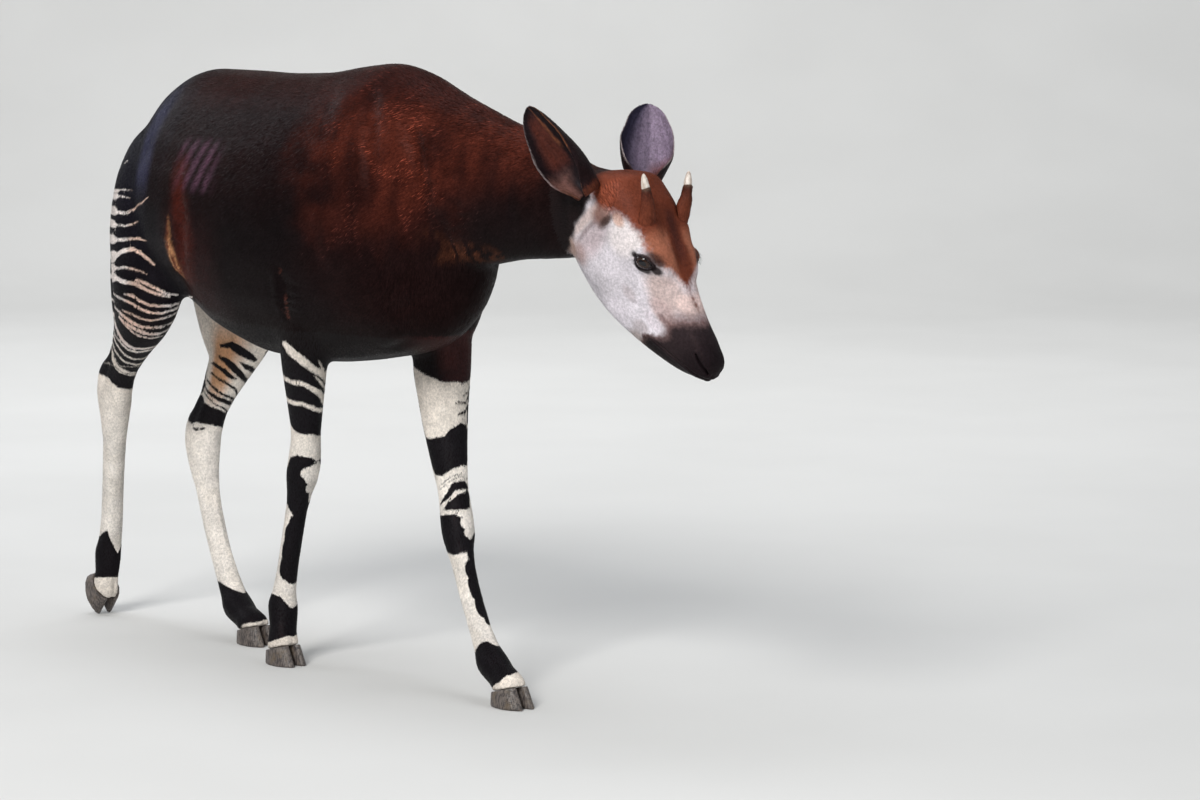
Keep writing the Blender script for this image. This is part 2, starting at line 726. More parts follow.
class Nodes:
    """The nodes of one material, with short ways to add and join them."""

    def __init__(self, name: str) -> None:
        """Start a material that has only its output.

        Args:
            name: The material's name.
        """
        self.material = bpy.data.materials.new(name)
        self.material.use_nodes = True
        self.tree = self.material.node_tree
        self.tree.nodes.clear()
        self.output = self.tree.nodes.new("ShaderNodeOutputMaterial")

    def add(self, kind: str, inputs: dict[str | int, object] | None = None, **settings: object) -> bpy.types.Node:
        """Add a node.

        Args:
            kind: The node's type without its ShaderNode prefix.
            inputs: Values of its sockets, or sockets to join to them.
            settings: Values of its properties.

        Returns:
            The node.
        """
        node = self.tree.nodes.new(f"ShaderNode{kind}")
        for name, value in settings.items():
            setattr(node, name, value)
        for key, value in (inputs or {}).items():
            if isinstance(value, bpy.types.NodeSocket):
                self.tree.links.new(value, node.inputs[key])
            else:
                node.inputs[key].default_value = value
        return node

    def attribute(self, name: str, output: str) -> bpy.types.NodeSocket:
        """The socket of a mesh attribute."""
        return self.add("Attribute", attribute_name=name).outputs[output]

    def noise(self, scale: float, detail: float = 3.0, stretch: Row = (1.0, 1.0, 1.0)) -> bpy.types.NodeSocket:
        """Noise in the object's own coordinates.

        Args:
            scale: Lumps a metre.
            detail: How many finer layers it has.
            stretch: How much finer it is along each axis.

        Returns:
            The socket of its value, from 0 to 1.
        """
        place = self.add("TexCoord").outputs["Object"]
        if stretch != (1.0, 1.0, 1.0):
            place = self.add("Mapping", {"Vector": place, "Scale": stretch}).outputs[0]
        return self.add("TexNoise", {"Vector": place, "Scale": scale, "Detail": detail}).outputs["Fac"]

    def ranged(self, value: bpy.types.NodeSocket, low: float, high: float, to_low: float,
               to_high: float) -> bpy.types.NodeSocket:
        """A value carried smoothly from one range to another.

        Args:
            value: The socket to read.
            low: Where the new range starts.
            high: Where the new range ends.
            to_low: The result at the start.
            to_high: The result at the end.

        Returns:
            The result's socket.
        """
        node = self.add("MapRange", {0: value, 1: low, 2: high, 3: to_low, 4: to_high},
                        interpolation_type="SMOOTHSTEP")
        return node.outputs[0]

    def maths(self, operation: str, first: object, second: object) -> bpy.types.NodeSocket:
        """The result of a sum of two values."""
        return self.add("Math", {0: first, 1: second}, operation=operation).outputs[0]

    def blended(self, share: object, first: object, second: object) -> bpy.types.NodeSocket:
        """Two colours mixed.

        Args:
            share: How much of the second.
            first: The first colour or its socket.
            second: The second colour or its socket.

        Returns:
            The colour's socket.
        """
        node = self.add("Mix", data_type="RGBA")
        for key, value in ((0, share), (6, first), (7, second)):
            if isinstance(value, bpy.types.NodeSocket):
                self.tree.links.new(value, node.inputs[key])
            else:
                node.inputs[key].default_value = value if key == 0 else (*value, 1.0)[:4]
        return node.outputs[2]

    def bump(self, height: bpy.types.NodeSocket, depth: float, strength: float = 1.0,
             under: bpy.types.NodeSocket | None = None) -> bpy.types.NodeSocket:
        """A bumpy normal.

        Args:
            height: The socket of the height, from 0 to 1.
            depth: How deep the bumps are, in metres.
            strength: How strongly they show.
            under: The normal of a coarser bump.

        Returns:
            The normal's socket.
        """
        inputs = {"Height": height, "Distance": depth, "Strength": strength}
        if under is not None:
            inputs["Normal"] = under
        return self.add("Bump", inputs).outputs[0]

    def surface(self, **inputs: object) -> bpy.types.Material:
        """Finish the material with a Principled shader.

        Args:
            inputs: Its sockets by name, with _ for a space.

        Returns:
            The material.
        """
        values = {name.replace("_", " "): value for name, value in inputs.items()}
        shader = self.add("BsdfPrincipled", values)
        self.tree.links.new(shader.outputs[0], self.output.inputs[0])
        return self.material


@dataclass(frozen=True)
class HairFinish:
    """Short hair, coloured by the mesh's attributes coat_dark, coat_light and coat_edge."""

    name: str
    roughness: float
    specular: float
    tint: Row
    sheen: float = 0.0
    mottle: float = 0.20
    hair_bump: float = 0.0003

    def material(self) -> bpy.types.Material:
        """The material."""
        nodes = Nodes(self.name)
        dark = nodes.attribute("coat_dark", "Color")
        light = nodes.attribute("coat_light", "Color")
        edge = nodes.attribute("coat_edge", "Fac")
        ragged = nodes.ranged(nodes.noise(420.0, 2.0), 0.3, 0.7, -0.0008, 0.0008)
        share = nodes.ranged(nodes.maths("ADD", edge, ragged), -0.0008, 0.0008, 0.0, 1.0)
        colour = nodes.blended(share, dark, light)
        mottle = nodes.ranged(nodes.noise(160.0, 4.0), 0.3, 0.7, 1.0 - self.mottle, 1.0 + self.mottle)
        broad = nodes.ranged(nodes.noise(14.0, 3.0), 0.3, 0.7, 0.90, 1.10)
        tone = nodes.maths("MULTIPLY", nodes.maths("MULTIPLY", mottle, broad), nodes.attribute("shade", "Fac"))
        shaded = nodes.add("VectorMath", {0: colour}, operation="SCALE")
        nodes.tree.links.new(tone, shaded.inputs[3])
        gloss = nodes.ranged(nodes.noise(220.0, 3.0), 0.3, 0.7, self.roughness - 0.07, self.roughness + 0.07)
        normal = nodes.bump(nodes.noise(900.0, 2.0), self.hair_bump, 0.6)
        return nodes.surface(Base_Color=shaded.outputs[0], Roughness=gloss, Normal=normal,
                             Sheen_Weight=self.sheen, Sheen_Roughness=0.4, Specular_IOR_Level=self.specular,
                             Specular_Tint=(*self.tint, 1.0))


@dataclass(frozen=True)
class HornFinish:
    """The horn of the hooves: grey-brown, streaked down the wall and ringed across it."""

    name: str = "hoof_horn"
    dark: Row = (0.030, 0.024, 0.024)
    pale: Row = (0.150, 0.125, 0.110)

    def material(self) -> bpy.types.Material:
        """The material."""
        nodes = Nodes(self.name)
        streaks = nodes.noise(60.0, 4.0, (6.0, 6.0, 1.0))
        rings = nodes.noise(70.0, 3.0, (0.4, 0.4, 6.0))
        colour = nodes.blended(nodes.ranged(streaks, 0.35, 0.65, 0.0, 1.0), self.dark, self.pale)
        grime = nodes.ranged(nodes.noise(45.0, 5.0), 0.50, 0.75, 0.0, 0.65)
        colour = nodes.blended(grime, colour, (0.13, 0.095, 0.06))
        gloss = nodes.ranged(nodes.noise(130.0), 0.3, 0.7, 0.34, 0.58)
        fine = nodes.bump(streaks, 0.0008, 0.5)
        return nodes.surface(Base_Color=colour, Roughness=gloss, Normal=nodes.bump(rings, 0.0012, 0.6, fine))


@dataclass(frozen=True)
class EyeFinish:
    """A wet, nearly black eye with a dark brown iris and a level pupil, drawn by the mesh's own attribute."""

    name: str = "wet_eye"

    def material(self) -> bpy.types.Material:
        """The material."""
        nodes = Nodes(self.name)
        iris = nodes.attribute("iris", "Fac")
        streaks = nodes.ranged(nodes.noise(700.0, 4.0), 0.35, 0.65, 0.5, 1.5)
        brown = nodes.add("VectorMath", {0: (0.030, 0.013, 0.007)}, operation="SCALE")
        nodes.tree.links.new(streaks, brown.inputs[3])
        colour = nodes.blended(nodes.ranged(iris, 0.30, 0.42, 0.0, 1.0), (0.002, 0.002, 0.004), brown.outputs[0])
        colour = nodes.blended(nodes.ranged(iris, 0.86, 1.06, 0.0, 1.0), colour, (0.020, 0.012, 0.012))
        wet = nodes.ranged(nodes.noise(300.0), 0.3, 0.7, 0.04, 0.09)
        return nodes.surface(Base_Color=colour, Roughness=wet, Coat_Weight=0.35, Coat_Roughness=0.02, IOR=1.38,
                             Specular_IOR_Level=0.35)


@dataclass(frozen=True)
class BoneFinish:
    """The bare, worn bone at the tips of the horns."""

    name: str = "worn_bone"

    def material(self) -> bpy.types.Material:
        """The material."""
        nodes = Nodes(self.name)
        lines = nodes.noise(180.0, 4.0, (1.0, 1.0, 0.25))
        colour = nodes.blended(nodes.ranged(lines, 0.35, 0.7, 0.0, 1.0), (0.72, 0.66, 0.60), (0.40, 0.31, 0.25))
        pits = nodes.noise(600.0, 3.0)
        gloss = nodes.ranged(nodes.noise(200.0), 0.3, 0.7, 0.36, 0.55)
        return nodes.surface(Base_Color=colour, Roughness=gloss,
                             Normal=nodes.bump(lines, 0.0008, 0.6, nodes.bump(pits, 0.0003, 0.5)))


@dataclass(frozen=True)
class WetSkinFinish:
    """The bare, damp rim of the eyelids."""

    name: str = "wet_lid"

    def material(self) -> bpy.types.Material:
        """The material."""
        nodes = Nodes(self.name)
        colour = nodes.blended(nodes.ranged(nodes.noise(500.0), 0.35, 0.65, 0.0, 1.0), (0.016, 0.012, 0.014),
                               (0.050, 0.040, 0.048))
        gloss = nodes.ranged(nodes.noise(400.0), 0.3, 0.7, 0.16, 0.32)
        return nodes.surface(Base_Color=colour, Roughness=gloss, Normal=nodes.bump(nodes.noise(1200.0), 0.0003, 0.5))


@dataclass(frozen=True)
class FloorFinish:
    """The studio's plain pale floor."""

    name: str = "studio_floor"

    def material(self) -> bpy.types.Material:
        """The material."""
        nodes = Nodes(self.name)
        colour = nodes.blended(nodes.ranged(nodes.noise(0.8), 0.3, 0.7, 0.0, 1.0), (0.64, 0.64, 0.63),
                               (0.67, 0.67, 0.66))
        return nodes.surface(Base_Color=colour, Roughness=0.85)


GLOSSY_COAT = HairFinish("glossy_coat", 0.38, 0.055, (1.0, 0.62, 0.60))
HAUNCH_COAT = HairFinish("haunch_coat", 0.42, 0.070, (0.78, 0.76, 1.0))
PALE_COAT = HairFinish("pale_coat", 0.55, 0.12, (0.95, 0.92, 0.95), mottle=0.11)
FACE_COAT = HairFinish("face_coat", 0.55, 0.12, (0.95, 0.92, 0.95), mottle=0.12)
EAR_COAT = HairFinish("ear_coat", 0.50, 0.14, (0.90, 0.85, 0.95), 0.02)

Finish = HairFinish | HornFinish | EyeFinish | BoneFinish | WetSkinFinish | FloorFinish


def material_of(finish: Finish) -> bpy.types.Material:
    """A finish's material, made once."""
    return bpy.data.materials.get(finish.name) or finish.material()


@dataclass(frozen=True)
class Patch:
    """A soft patch of colour on both sides of the head, given along it, outwards and up."""

    place: Row
    size: Row
    colour: Row
    strength: float = 1.0
    soft: float = 0.5

    def share(self, head: Points, lumps: Points) -> Points:
        """How strongly the patch colours each place.

        Args:
            head: Places on the head, the second number without its sign.
            lumps: Small lumps that make the edge uneven.

        Returns:
            Numbers from 0 to 1.
        """
        far = np.linalg.norm((head - np.array(self.place)) / np.array(self.size), axis=1) + lumps * 0.12
        return self.strength * ease(far, 1.0 + self.soft / 2, 1.0 - self.soft / 2)


WHITE = (0.80, 0.74, 0.74)
BEIGE = (0.56, 0.43, 0.40)
DARK_BROWN = (0.050, 0.026, 0.022)
EYE_BLACK = (0.014, 0.009, 0.010)

PALE_PATCHES = (
    Patch((.205, .092, .022), (.042, .05, .036), WHITE, 0.85, 0.8),
    Patch((.225, .085, .045), (.022, .05, .022), WHITE, 0.85, 0.7),
    Patch((.163, .093, .036), (.020, .05, .012), (.60, .38, .30), 0.8, 0.8),
    Patch((.155, .090, -.060), (.030, .05, .055), (.48, .38, .40), 0.7, 1.2),
    Patch((.150, .080, -.112), (.030, .05, .022), (.34, .22, .20), 0.7, 1.2),
    Patch((.108, .090, -.030), (.014, .05, .080), (.60, .48, .45), 0.8, 1.0),
    Patch((.118, .060, -.140), (.030, .05, .030), (.30, .18, .13), 0.8, 1.0),
    Patch((.128, .093, -.050), (.006, .05, .045), (.20, .14, .14), 0.6, 1.2),
    Patch((.127, .093, .008), (.026, .05, .030), (.22, .105, .080), 0.9, 1.0),
    Patch((.355, .050, .020), (.060, .05, .034), BEIGE, 0.85, 0.9),
    Patch((.385, .055, -.012), (.040, .05, .022), (.56, .42, .41), 0.8, 0.8),
    Patch((.305, .075, -.052), (.022, .04, .014), (.54, .46, .48), 0.5, 0.9),
    Patch((.405, .026, .038), (.030, .05, .018), (.82, .64, .60), 0.9, 0.8),
    Patch((.385, .052, -.046), (.030, .04, .014), (.72, .66, .71), 0.9, 0.7),
    Patch((.376, .050, -.092), (.022, .05, .022), (.44, .38, .39), 0.6, 0.8),
    Patch((.385, .020, -.130), (.030, .05, .025), (.34, .27, .24), 0.7, 0.8),
)

DARK_PATCHES = (
    Patch((.147, .093, .006), (.010, .05, .021), DARK_BROWN, 0.9, 1.1),
    Patch((.395, .055, -.022), (.014, .03, .008), (.26, .17, .17), 0.7, 0.9),
)

EYE_PATCHES = (
    Patch((-.0295, .000, .0), (.010, .0062, .9), EYE_BLACK, 0.96, 0.7),
    Patch((.034, -.004, .0), (.014, .0080, .9), EYE_BLACK, 0.96, 0.7),
    Patch((.014, .0205, .0), (.020, .0080, .9), (.026, .013, .012), 0.80, 1.2),
    Patch((.031, .0125, .0), (.013, .0090, .9), (.022, .011, .011), 0.82, 1.1),
    Patch((.002, -.014, .0), (.026, .0080, .9), EYE_BLACK, 0.90, 0.7),
)


@dataclass(frozen=True)
class Markings:
    """Where the okapi's colours lie, worked out for any place on its coat."""

    haunch_front: float = -0.275
    fore_reach: float = 0.118
    hind_reach: float = 0.30
    near_black: Row = (0.0050, 0.0036, 0.0040)
    maroon: Row = (0.0120, 0.0036, 0.0032)
    chestnut: Row = (0.074, 0.0155, 0.0088)
    cream: Row = (0.77, 0.72, 0.66)
    warm_tan: Row = (0.54, 0.27, 0.12)

    def body(self, points: Points) -> Points:
        """The colour of the trunk and the neck.

        Args:
            points: One point a row, in the animal's frame.

        Returns:
            One colour a point.
        """
        x, y, z = points.T
        lumps = grain(points, 0.11, 1) * 0.5 + grain(points, 0.035, 2) * 0.3
        front = ease(x + lumps * 0.10, 0.18, 0.48)
        high = ease(z + lumps * 0.08, 1.04, 1.28)
        colour = mix(self.near_black, self.maroon, np.clip(front * 0.6 + high * 0.5, 0.0, 1.0))
        streaks = grain(points * np.array([1.0, 1.0, 0.30]), 0.030, 3)
        patchy = ease(lumps + streaks * 0.45, -0.50, 0.30)
        colour = mix(colour, self.chestnut, front * high * (0.35 + 0.60 * patchy))
        back = ease(z + lumps * 0.02, 1.36, 1.45)
        colour = mix(colour, (0.024, 0.0058, 0.0046), back * ease(x, -0.45, -0.20) * 0.8)
        rear = ease(x + lumps * 0.03, -0.36, -0.24) * ease(x + lumps * 0.05, 0.02, -0.18)
        colour = mix(colour, (0.0200, 0.0052, 0.0052), rear * ease(z, 1.20, 1.02) * 0.8)
        across = x + 0.20 - 0.45 * (z - 1.27)
        window = ease(x, -0.255, -0.20) * ease(x, -0.03, -0.10)
        window *= ease(z, 1.165, 1.205) * ease(z, 1.320, 1.280)
        rays = (0.5 + 0.5 * np.sin(across / 0.046 * 2 * math.pi + lumps)) * window
        colour = mix(colour, (0.100, 0.046, 0.075), rays * 0.75)
        neck = ease(x, 0.60, 0.70)
        under = ease(z - (1.03 + 0.20 * np.clip(x - 0.62, 0.0, 1.0)), 0.26, 0.08) * ease(x, 0.60, 0.80)
        colour = mix(colour, self.near_black, under * 0.92)
        fringe, _ = to_polyline(points, [(0.620, -0.10, 1.09), (0.70, -0.08, 1.07), (0.79, -0.04, 1.06)])
        hairs = ease(grain(points * np.array([1.0, 1.0, 0.15]), 0.010, 4), -0.3, 0.5)
        hairs = neck * hairs * ease(fringe + lumps * 0.02, 0.050, 0.012)
        colour = mix(colour, (0.105, 0.034, 0.016), hairs * 0.55)
        haunch = ease(x, -0.34, -0.44)
        colour = mix(colour, (0.0068, 0.0060, 0.0100), haunch * (1.0 - 0.25 * back))
        blue = ease(np.abs(x + 0.42), 0.070, 0.015) * ease(z, 1.13, 1.22) * ease(z, 1.46, 1.38)
        colour = mix(colour, (0.040, 0.040, 0.088), blue * (0.48 + 0.45 * lumps))
        side = np.stack([x, -np.abs(y), z], axis=1)
        fold, along = to_polyline(side, [(-0.248, -0.242, 1.110), (-0.256, -0.238, 1.056), (-0.257, -0.230, 1.018),
                                         (-0.248, -0.221, 0.986), (-0.236, -0.214, 0.950)])
        wide = 0.021 * np.sin(np.pi * np.clip(0.02 + 0.82 * along, 0.0, 1.0)) ** 1.2
        red, _ = to_polyline(side, [(-0.213, -0.236, 1.230), (-0.205, -0.243, 1.158), (-0.185, -0.247, 1.097),
                                    (-0.183, -0.242, 1.035), (-0.205, -0.225, 0.975)])
        colour = mix(colour, (0.075, 0.0125, 0.0070), ease(red + lumps * 0.020, 0.062, 0.000) * 0.62)
        streak = ease(grain(points * np.array([1.0, 1.0, 0.10]), 0.006, 9), -0.5, 0.6)
        orange = mix((0.125, 0.034, 0.016), (0.52, 0.26, 0.12), streak)
        colour = mix(colour, orange, ease(fold - wide + lumps * 0.006, 0.010, -0.010) * 0.95)
        elbow, _ = to_polyline(side, [(0.207, -0.227, 1.010), (0.205, -0.214, 0.959), (0.185, -0.187, 0.888)])
        colour = mix(colour, (0.10, 0.032, 0.022), ease(elbow + lumps * 0.006, 0.007, 0.001) * 0.6)
        belly = ease(z, 0.92, 0.84)
        return mix(colour, (0.0058, 0.0038, 0.0038), belly * 0.85)

    def legs(self, points: Points, dark: Points, light: Points, edge: Points) -> None:
        """Paint the legs and the haunches over the body's colours.

        Args:
            points: One point a row, in the animal's frame.
            dark: The dark colours, changed in place.
            light: The light colours, changed in place.
            edge: The depths inside the light markings, changed in place.
        """
        haunch = (points[:, 0] < self.haunch_front) & (points[:, 2] >= LEG_TOP)
        owner = np.where(haunch, np.where(points[:, 1] < 0.0, 2, 3), nearest_leg(points))
        lumps = grain(points, 0.05, 5) * 0.6 + grain(points, 0.012, 6) * 0.4
        wobble = grain(points, 0.022, 7) * 0.0012
        for number, leg in enumerate(LEG_MAPS):
            own = owner == number
            if not own.any():
                continue
            places = points[own].copy()
            places[:, 2] += wobble[own]
            angle, height, radius = leg.around(places)
            reach = self.hind_reach if leg.name.startswith("hind") else self.fore_reach
            fade = np.where(height > 0.70, reach - radius, 1.0)
            if leg.name.startswith("hind"):
                spine = ease(height, 1.22, 1.32) * 0.5
                fade = np.minimum(fade, 0.05 - spine)
            wider = ease(angle, 106.0, 128.0) * ease(angle, 176.0, 152.0)
            wider *= ease(height, 0.90, 0.95) * ease(height, 1.20, 1.12) * 0.0075
            edge[own] = np.minimum(leg.light(places) + wider, fade)
            high = ease(height, 0.70, 0.88) if leg.name.startswith("fore") else ease(height, 0.9, 1.2)
            if leg.name == "fore_left":
                high = ease(height + lumps[own] * 0.05, 0.66, 0.82)
                fore = ease(np.abs((angle + 180.0) % 360.0 - 180.0), 75.0, 30.0)
                dark[own] = mix(dark[own], (0.040, 0.0130, 0.0120), ease(height, 1.0, 0.86) * fore)
            dark[own] = mix((0.0065, 0.0055, 0.0070), dark[own], high)
            tone = mix(self.cream, (0.79, 0.76, 0.73), ease(lumps[own], -0.5, 0.6) * 0.6)
            tan = ease(height, 0.42, 0.75) * 0.20 + ease(height, 0.16, 0.06) * 0.20
            tone = mix(tone, (0.60, 0.46, 0.32), np.clip(tan + lumps[own] * 0.15, 0.0, 1.0))
            if leg.name == "hind_left":
                inner = ease(np.abs(angle - 300.0), 58.0, 20.0) * ease(height, 0.56, 0.66)
                inner *= ease(height, 0.86, 0.74)
                tone = mix(tone, self.warm_tan, inner * 0.9)
            if leg.name == "hind_right":
                tone = mix(tone, (0.74, 0.68, 0.66), ease(height, 0.7, 0.8) * 0.8)
                tone = mix(tone, (0.62, 0.38, 0.27), ease(height, 0.74, 0.84) * ease(angle, 78.0, 50.0)
                           * ease(angle, 5.0, 20.0) * 0.7)
            light[own] = tone

    def head(self, points: Points) -> Points:
        """The colour of the head.

        Args:
            points: One point a row, in the animal's frame.

        Returns:
            One colour a point.
        """
        u, w, v = ANATOMY.on_head(points).T
        side = np.abs(w)
        head = np.stack([u, side, v], axis=1)
        lumps = grain(points, 0.030, 11) * 0.6 + grain(points, 0.009, 12) * 0.4
        colour = np.array((0.62, 0.585, 0.625)) * (1.0 + 0.20 * ease(u, 0.22, 0.34))[:, None]
        for patch in PALE_PATCHES:
            colour = mix(colour, patch.colour, patch.share(head, lumps))
        low = np.interp(
            u, (0.06, 0.10, 0.122, 0.141, 0.161, 0.180, 0.200, 0.215, 0.235, 0.250, 0.266, 0.29, 0.305, 0.33),
            (0.000, 0.010, 0.023, 0.035, 0.043, 0.050, 0.056, 0.064, 0.063, 0.056, 0.054, 0.050, 0.044, 0.030))
        brow = ease(v - low + lumps * 0.010 + grain(points, 0.0035, 14) * 0.004, -0.012, 0.013)
        nose = np.interp(u, (0.28, 0.30, 0.32, 0.335, 0.35, 0.38), (0.12, 0.070, 0.046, 0.028, 0.012, 0.0))
        brow *= ease(nose - side + lumps * 0.009 + grain(points, 0.0035, 15) * 0.005, -0.014, 0.012)
        bright = ease(np.abs(w - 0.010), 0.014, 0.036) * ease(u, 0.215, 0.255)
        red = mix((0.150, 0.036, 0.018), (0.400, 0.145, 0.085), bright)
        red = mix(red, (0.155, 0.036, 0.017), ease(u, 0.16, 0.10) * ease(side, 0.04, 0.07))
        red = mix(red, (0.275, 0.072, 0.040), ease(np.hypot(u - 0.185, v - 0.064), 0.030, 0.010) * 0.3)
        stripe_dark = ease(np.abs(w - 0.010) + lumps * 0.007, 0.026, 0.004) * ease(u, 0.16, 0.21)
        red = mix(red, (0.050, 0.014, 0.011), stripe_dark * ease(u, 0.335, 0.275) * 0.75)
        colour = mix(colour, red, brow)
        crown = ease(u + lumps * 0.01, 0.065, 0.025) * ease(v, -0.01, 0.02)
        colour = mix(colour, (0.100, 0.024, 0.012), crown * 0.9)
        for patch in DARK_PATCHES:
            colour = mix(colour, patch.colour, patch.share(head, lumps))
        for eye_side in Side:
            near = (w * eye_side.value > 0.03) & (np.hypot(u - 0.277, v - 0.033) < 0.08)
            eye = (points[near] - ANATOMY.eye_centre(eye_side)) @ ANATOMY.eye_axes(eye_side)
            black = ease(almond_gap(eye) + lumps[near] * 0.0008, 0.0072, 0.0044)
            colour[near] = mix(colour[near], EYE_BLACK, black * 0.97)
            for patch in EYE_PATCHES:
                colour[near] = mix(colour[near], patch.colour, patch.share(eye, lumps[near] * 1.5))
        start = np.interp(v, (-0.14, -0.100, -0.086, -0.076, -0.060, -0.045, -0.033, -0.016, 0.006, 0.023, 0.035),
                          (0.400, 0.392, 0.397, 0.408, 0.424, 0.432, 0.436, 0.426, 0.438, 0.447, 0.457))
        past = u - start + lumps * 0.007 + grain(points, 0.0035, 13) * 0.004
        soft = np.interp(v, (-0.08, -0.05, -0.02, 0.02), (0.012, 0.018, 0.046, 0.058))
        brown = np.clip((past + soft) / soft, 0.0, 1.0)
        colour = mix(colour, (0.120, 0.050, 0.042), brown * brown * (3 - 2 * brown) * 0.9)
        muzzle = mix((0.0105, 0.0070, 0.0085), (0.028, 0.019, 0.021), ease(u, 0.53, 0.44) * ease(v, -0.09, -0.05))
        return mix(colour, muzzle, ease(past, -0.012, 0.014))

    def paint(self, points: Points) -> tuple[Points, Points, Points]:
        """The colours of places on the coat.

        Args:
            points: One point a row, in the frame's coordinates.

        Returns:
            The dark colours, the light colours, and how deep each place lies in the light markings.
        """
        places = points - SHIFT
        dark = self.body(places)
        light = dark.copy()
        edge = np.full(len(places), -FULLY_LIGHT)
        self.legs(places, dark, light, edge)
        past = ANATOMY.beyond_collar(places)
        on_head = past > -0.05
        if on_head.any():
            face = self.head(places[on_head])
            lumps = grain(places[on_head], 0.02, 21) * 0.010
            u, _, v = ANATOMY.on_head(places[on_head]).T
            nape = np.interp(v, (-0.14, -0.08, -0.03, 0.00, 0.02, 0.04), (0.118, 0.104, 0.092, 0.082, 0.030, 0.010))
            share = ease(past[on_head] + lumps, -0.012, 0.010) * ease(u - nape + lumps, -0.009, 0.009)
            light[on_head] = mix(dark[on_head], face, share)
            edge[on_head] = FULLY_LIGHT
        return dark, light, edge


MARKINGS = Markings()


def eased_rows(keys: tuple[float, ...], rows: tuple[Row, ...], at: Points) -> Points:
    """Rows of numbers carried smoothly through the given ones.

    Args:
        keys: Where each given row stands.
        rows: The given rows.
        at: Where rows are wanted.

    Returns:
        One row for each place asked for.
    """
    keys, rows = np.asarray(keys, float), np.asarray(rows, float)
    slopes = np.gradient(rows, keys, axis=0)
    span = np.clip(np.searchsorted(keys, at, side="right") - 1, 0, len(keys) - 2)
    step = (keys[span + 1] - keys[span])[:, None]
    t = ((at - keys[span])[:, None] / step).clip(0.0, 1.0)
    first, second = rows[span], rows[span + 1]
    return ((2 * t**3 - 3 * t**2 + 1) * first + (t**3 - 2 * t**2 + t) * step * slopes[span]
            + (3 * t**2 - 2 * t**3) * second + (t**3 - t**2) * step * slopes[span + 1])


def tube(name: str, path: Points, radii: Points, sides: int) -> bpy.types.Object:
    """A closed round tube along a path.

    Args:
        name: The object's name.
        path: The places along its middle.
        radii: Its radius at each place.
        sides: How many sides it has.

    Returns:
        The tube.
    """
    path = np.asarray(path, float)
    run = unit(np.gradient(path, axis=0))
    aside = unit(np.cross(run, np.array([0.0, 1.0, 0.02])))
    other = np.cross(run, aside)
    turn = np.linspace(0.0, 2 * math.pi, sides, endpoint=False)
    ring = (aside[:, None] * np.cos(turn)[None, :, None] + other[:, None] * np.sin(turn)[None, :, None])
    points = path[:, None] + ring * np.asarray(radii)[:, None, None]
    item = mesh_object(name, points.reshape(-1, 3), ring_faces(len(path), sides, True))
    close_up(item)
    return item


def close_up(item: bpy.types.Object) -> None:
    """Fill an object's open ends and turn its faces outwards."""
    with editing(item):
        bpy.ops.mesh.fill_holes(sides=0)
        bpy.ops.mesh.normals_make_consistent(inside=False)


@dataclass(frozen=True)
class Crease:
    """A soft groove, or a ridge where its depth is below zero, along places on the skin."""

    path: tuple[Row, ...]
    width: float
    depth: float
    lip: float = 0.0

    def press(self, points: Points) -> Points:
        """How far each point goes in.

        Args:
            points: One point a row, in the frame the path is given in.

        Returns:
            Metres inwards.
        """
        gap, along = to_polyline(points, self.path)
        fade = np.clip(np.minimum(along, 1.0 - along) * 4.0, 0.12, 1.0) ** 0.5
        groove = self.depth * hump(gap, 0.0, self.width)
        edge = self.lip * hump(gap, 2.0 * self.width, 0.8 * self.width)
        return (groove - edge) * fade


BODY_CREASES = (
    Crease(((.417, -.108, 1.430), (.467, -.143, 1.349), (.490, -.161, 1.280), (.510, -.174, 1.174)),
           .020, .0075, .0025),
    Crease(((.462, -.089, 1.442), (.532, -.130, 1.351), (.564, -.144, 1.259), (.579, -.150, 1.143),
            (.567, -.150, 1.044)), .022, -.0040),
    Crease(((.573, -.106, 1.375), (.616, -.124, 1.307), (.649, -.126, 1.215), (.650, -.111, 1.117)),
           .020, .0080, .0030),
    Crease(((.641, -.111, 1.328), (.674, -.120, 1.205)), .010, -.0030),
    Crease(((.720, -.110, 1.26), (.734, -.107, 1.221), (.746, -.082, 1.109)), .010, .0040, .0020),
    Crease(((.689, -.111, 1.159), (.694, -.092, 1.100), (.684, -.064, 1.047)), .014, .0050, .0020),
    Crease(((.963, -.046, 1.242), (.941, -.058, 1.171)), .008, .0025, .001),
    Crease(((.207, -.227, 1.010), (.203, -.214, .959), (.184, -.187, .888)), .011, .0075, .0030),
    Crease(((.535, -.124, .919), (.583, -.113, .945), (.629, -.095, .970)), .013, .0050, .0020),
    Crease(((.433, -.067, .819), (.537, -.079, .861)), .013, .0040, .0015),
    Crease(((-.196, -.245, 1.19), (-.186, -.247, 1.10), (-.190, -.242, 1.03), (-.215, -.23, .96)), .016, .0075, .0015),
    Crease(((-.250, -.242, 1.10), (-.257, -.230, 1.02), (-.238, -.216, .955)), .013, -.0045),
    Crease(((.300, -.235, 1.16), (.340, -.230, 1.08), (.345, -.215, 1.00)), .026, .0040),
    Crease(((-.36, -.13, 1.44), (-.42, -.19, 1.34), (-.44, -.22, 1.22)), .034, .0060),
    Crease(((.181, -.063, 1.464), (.230, -.075, 1.455), (.280, -.080, 1.462)), .030, .0040),
)

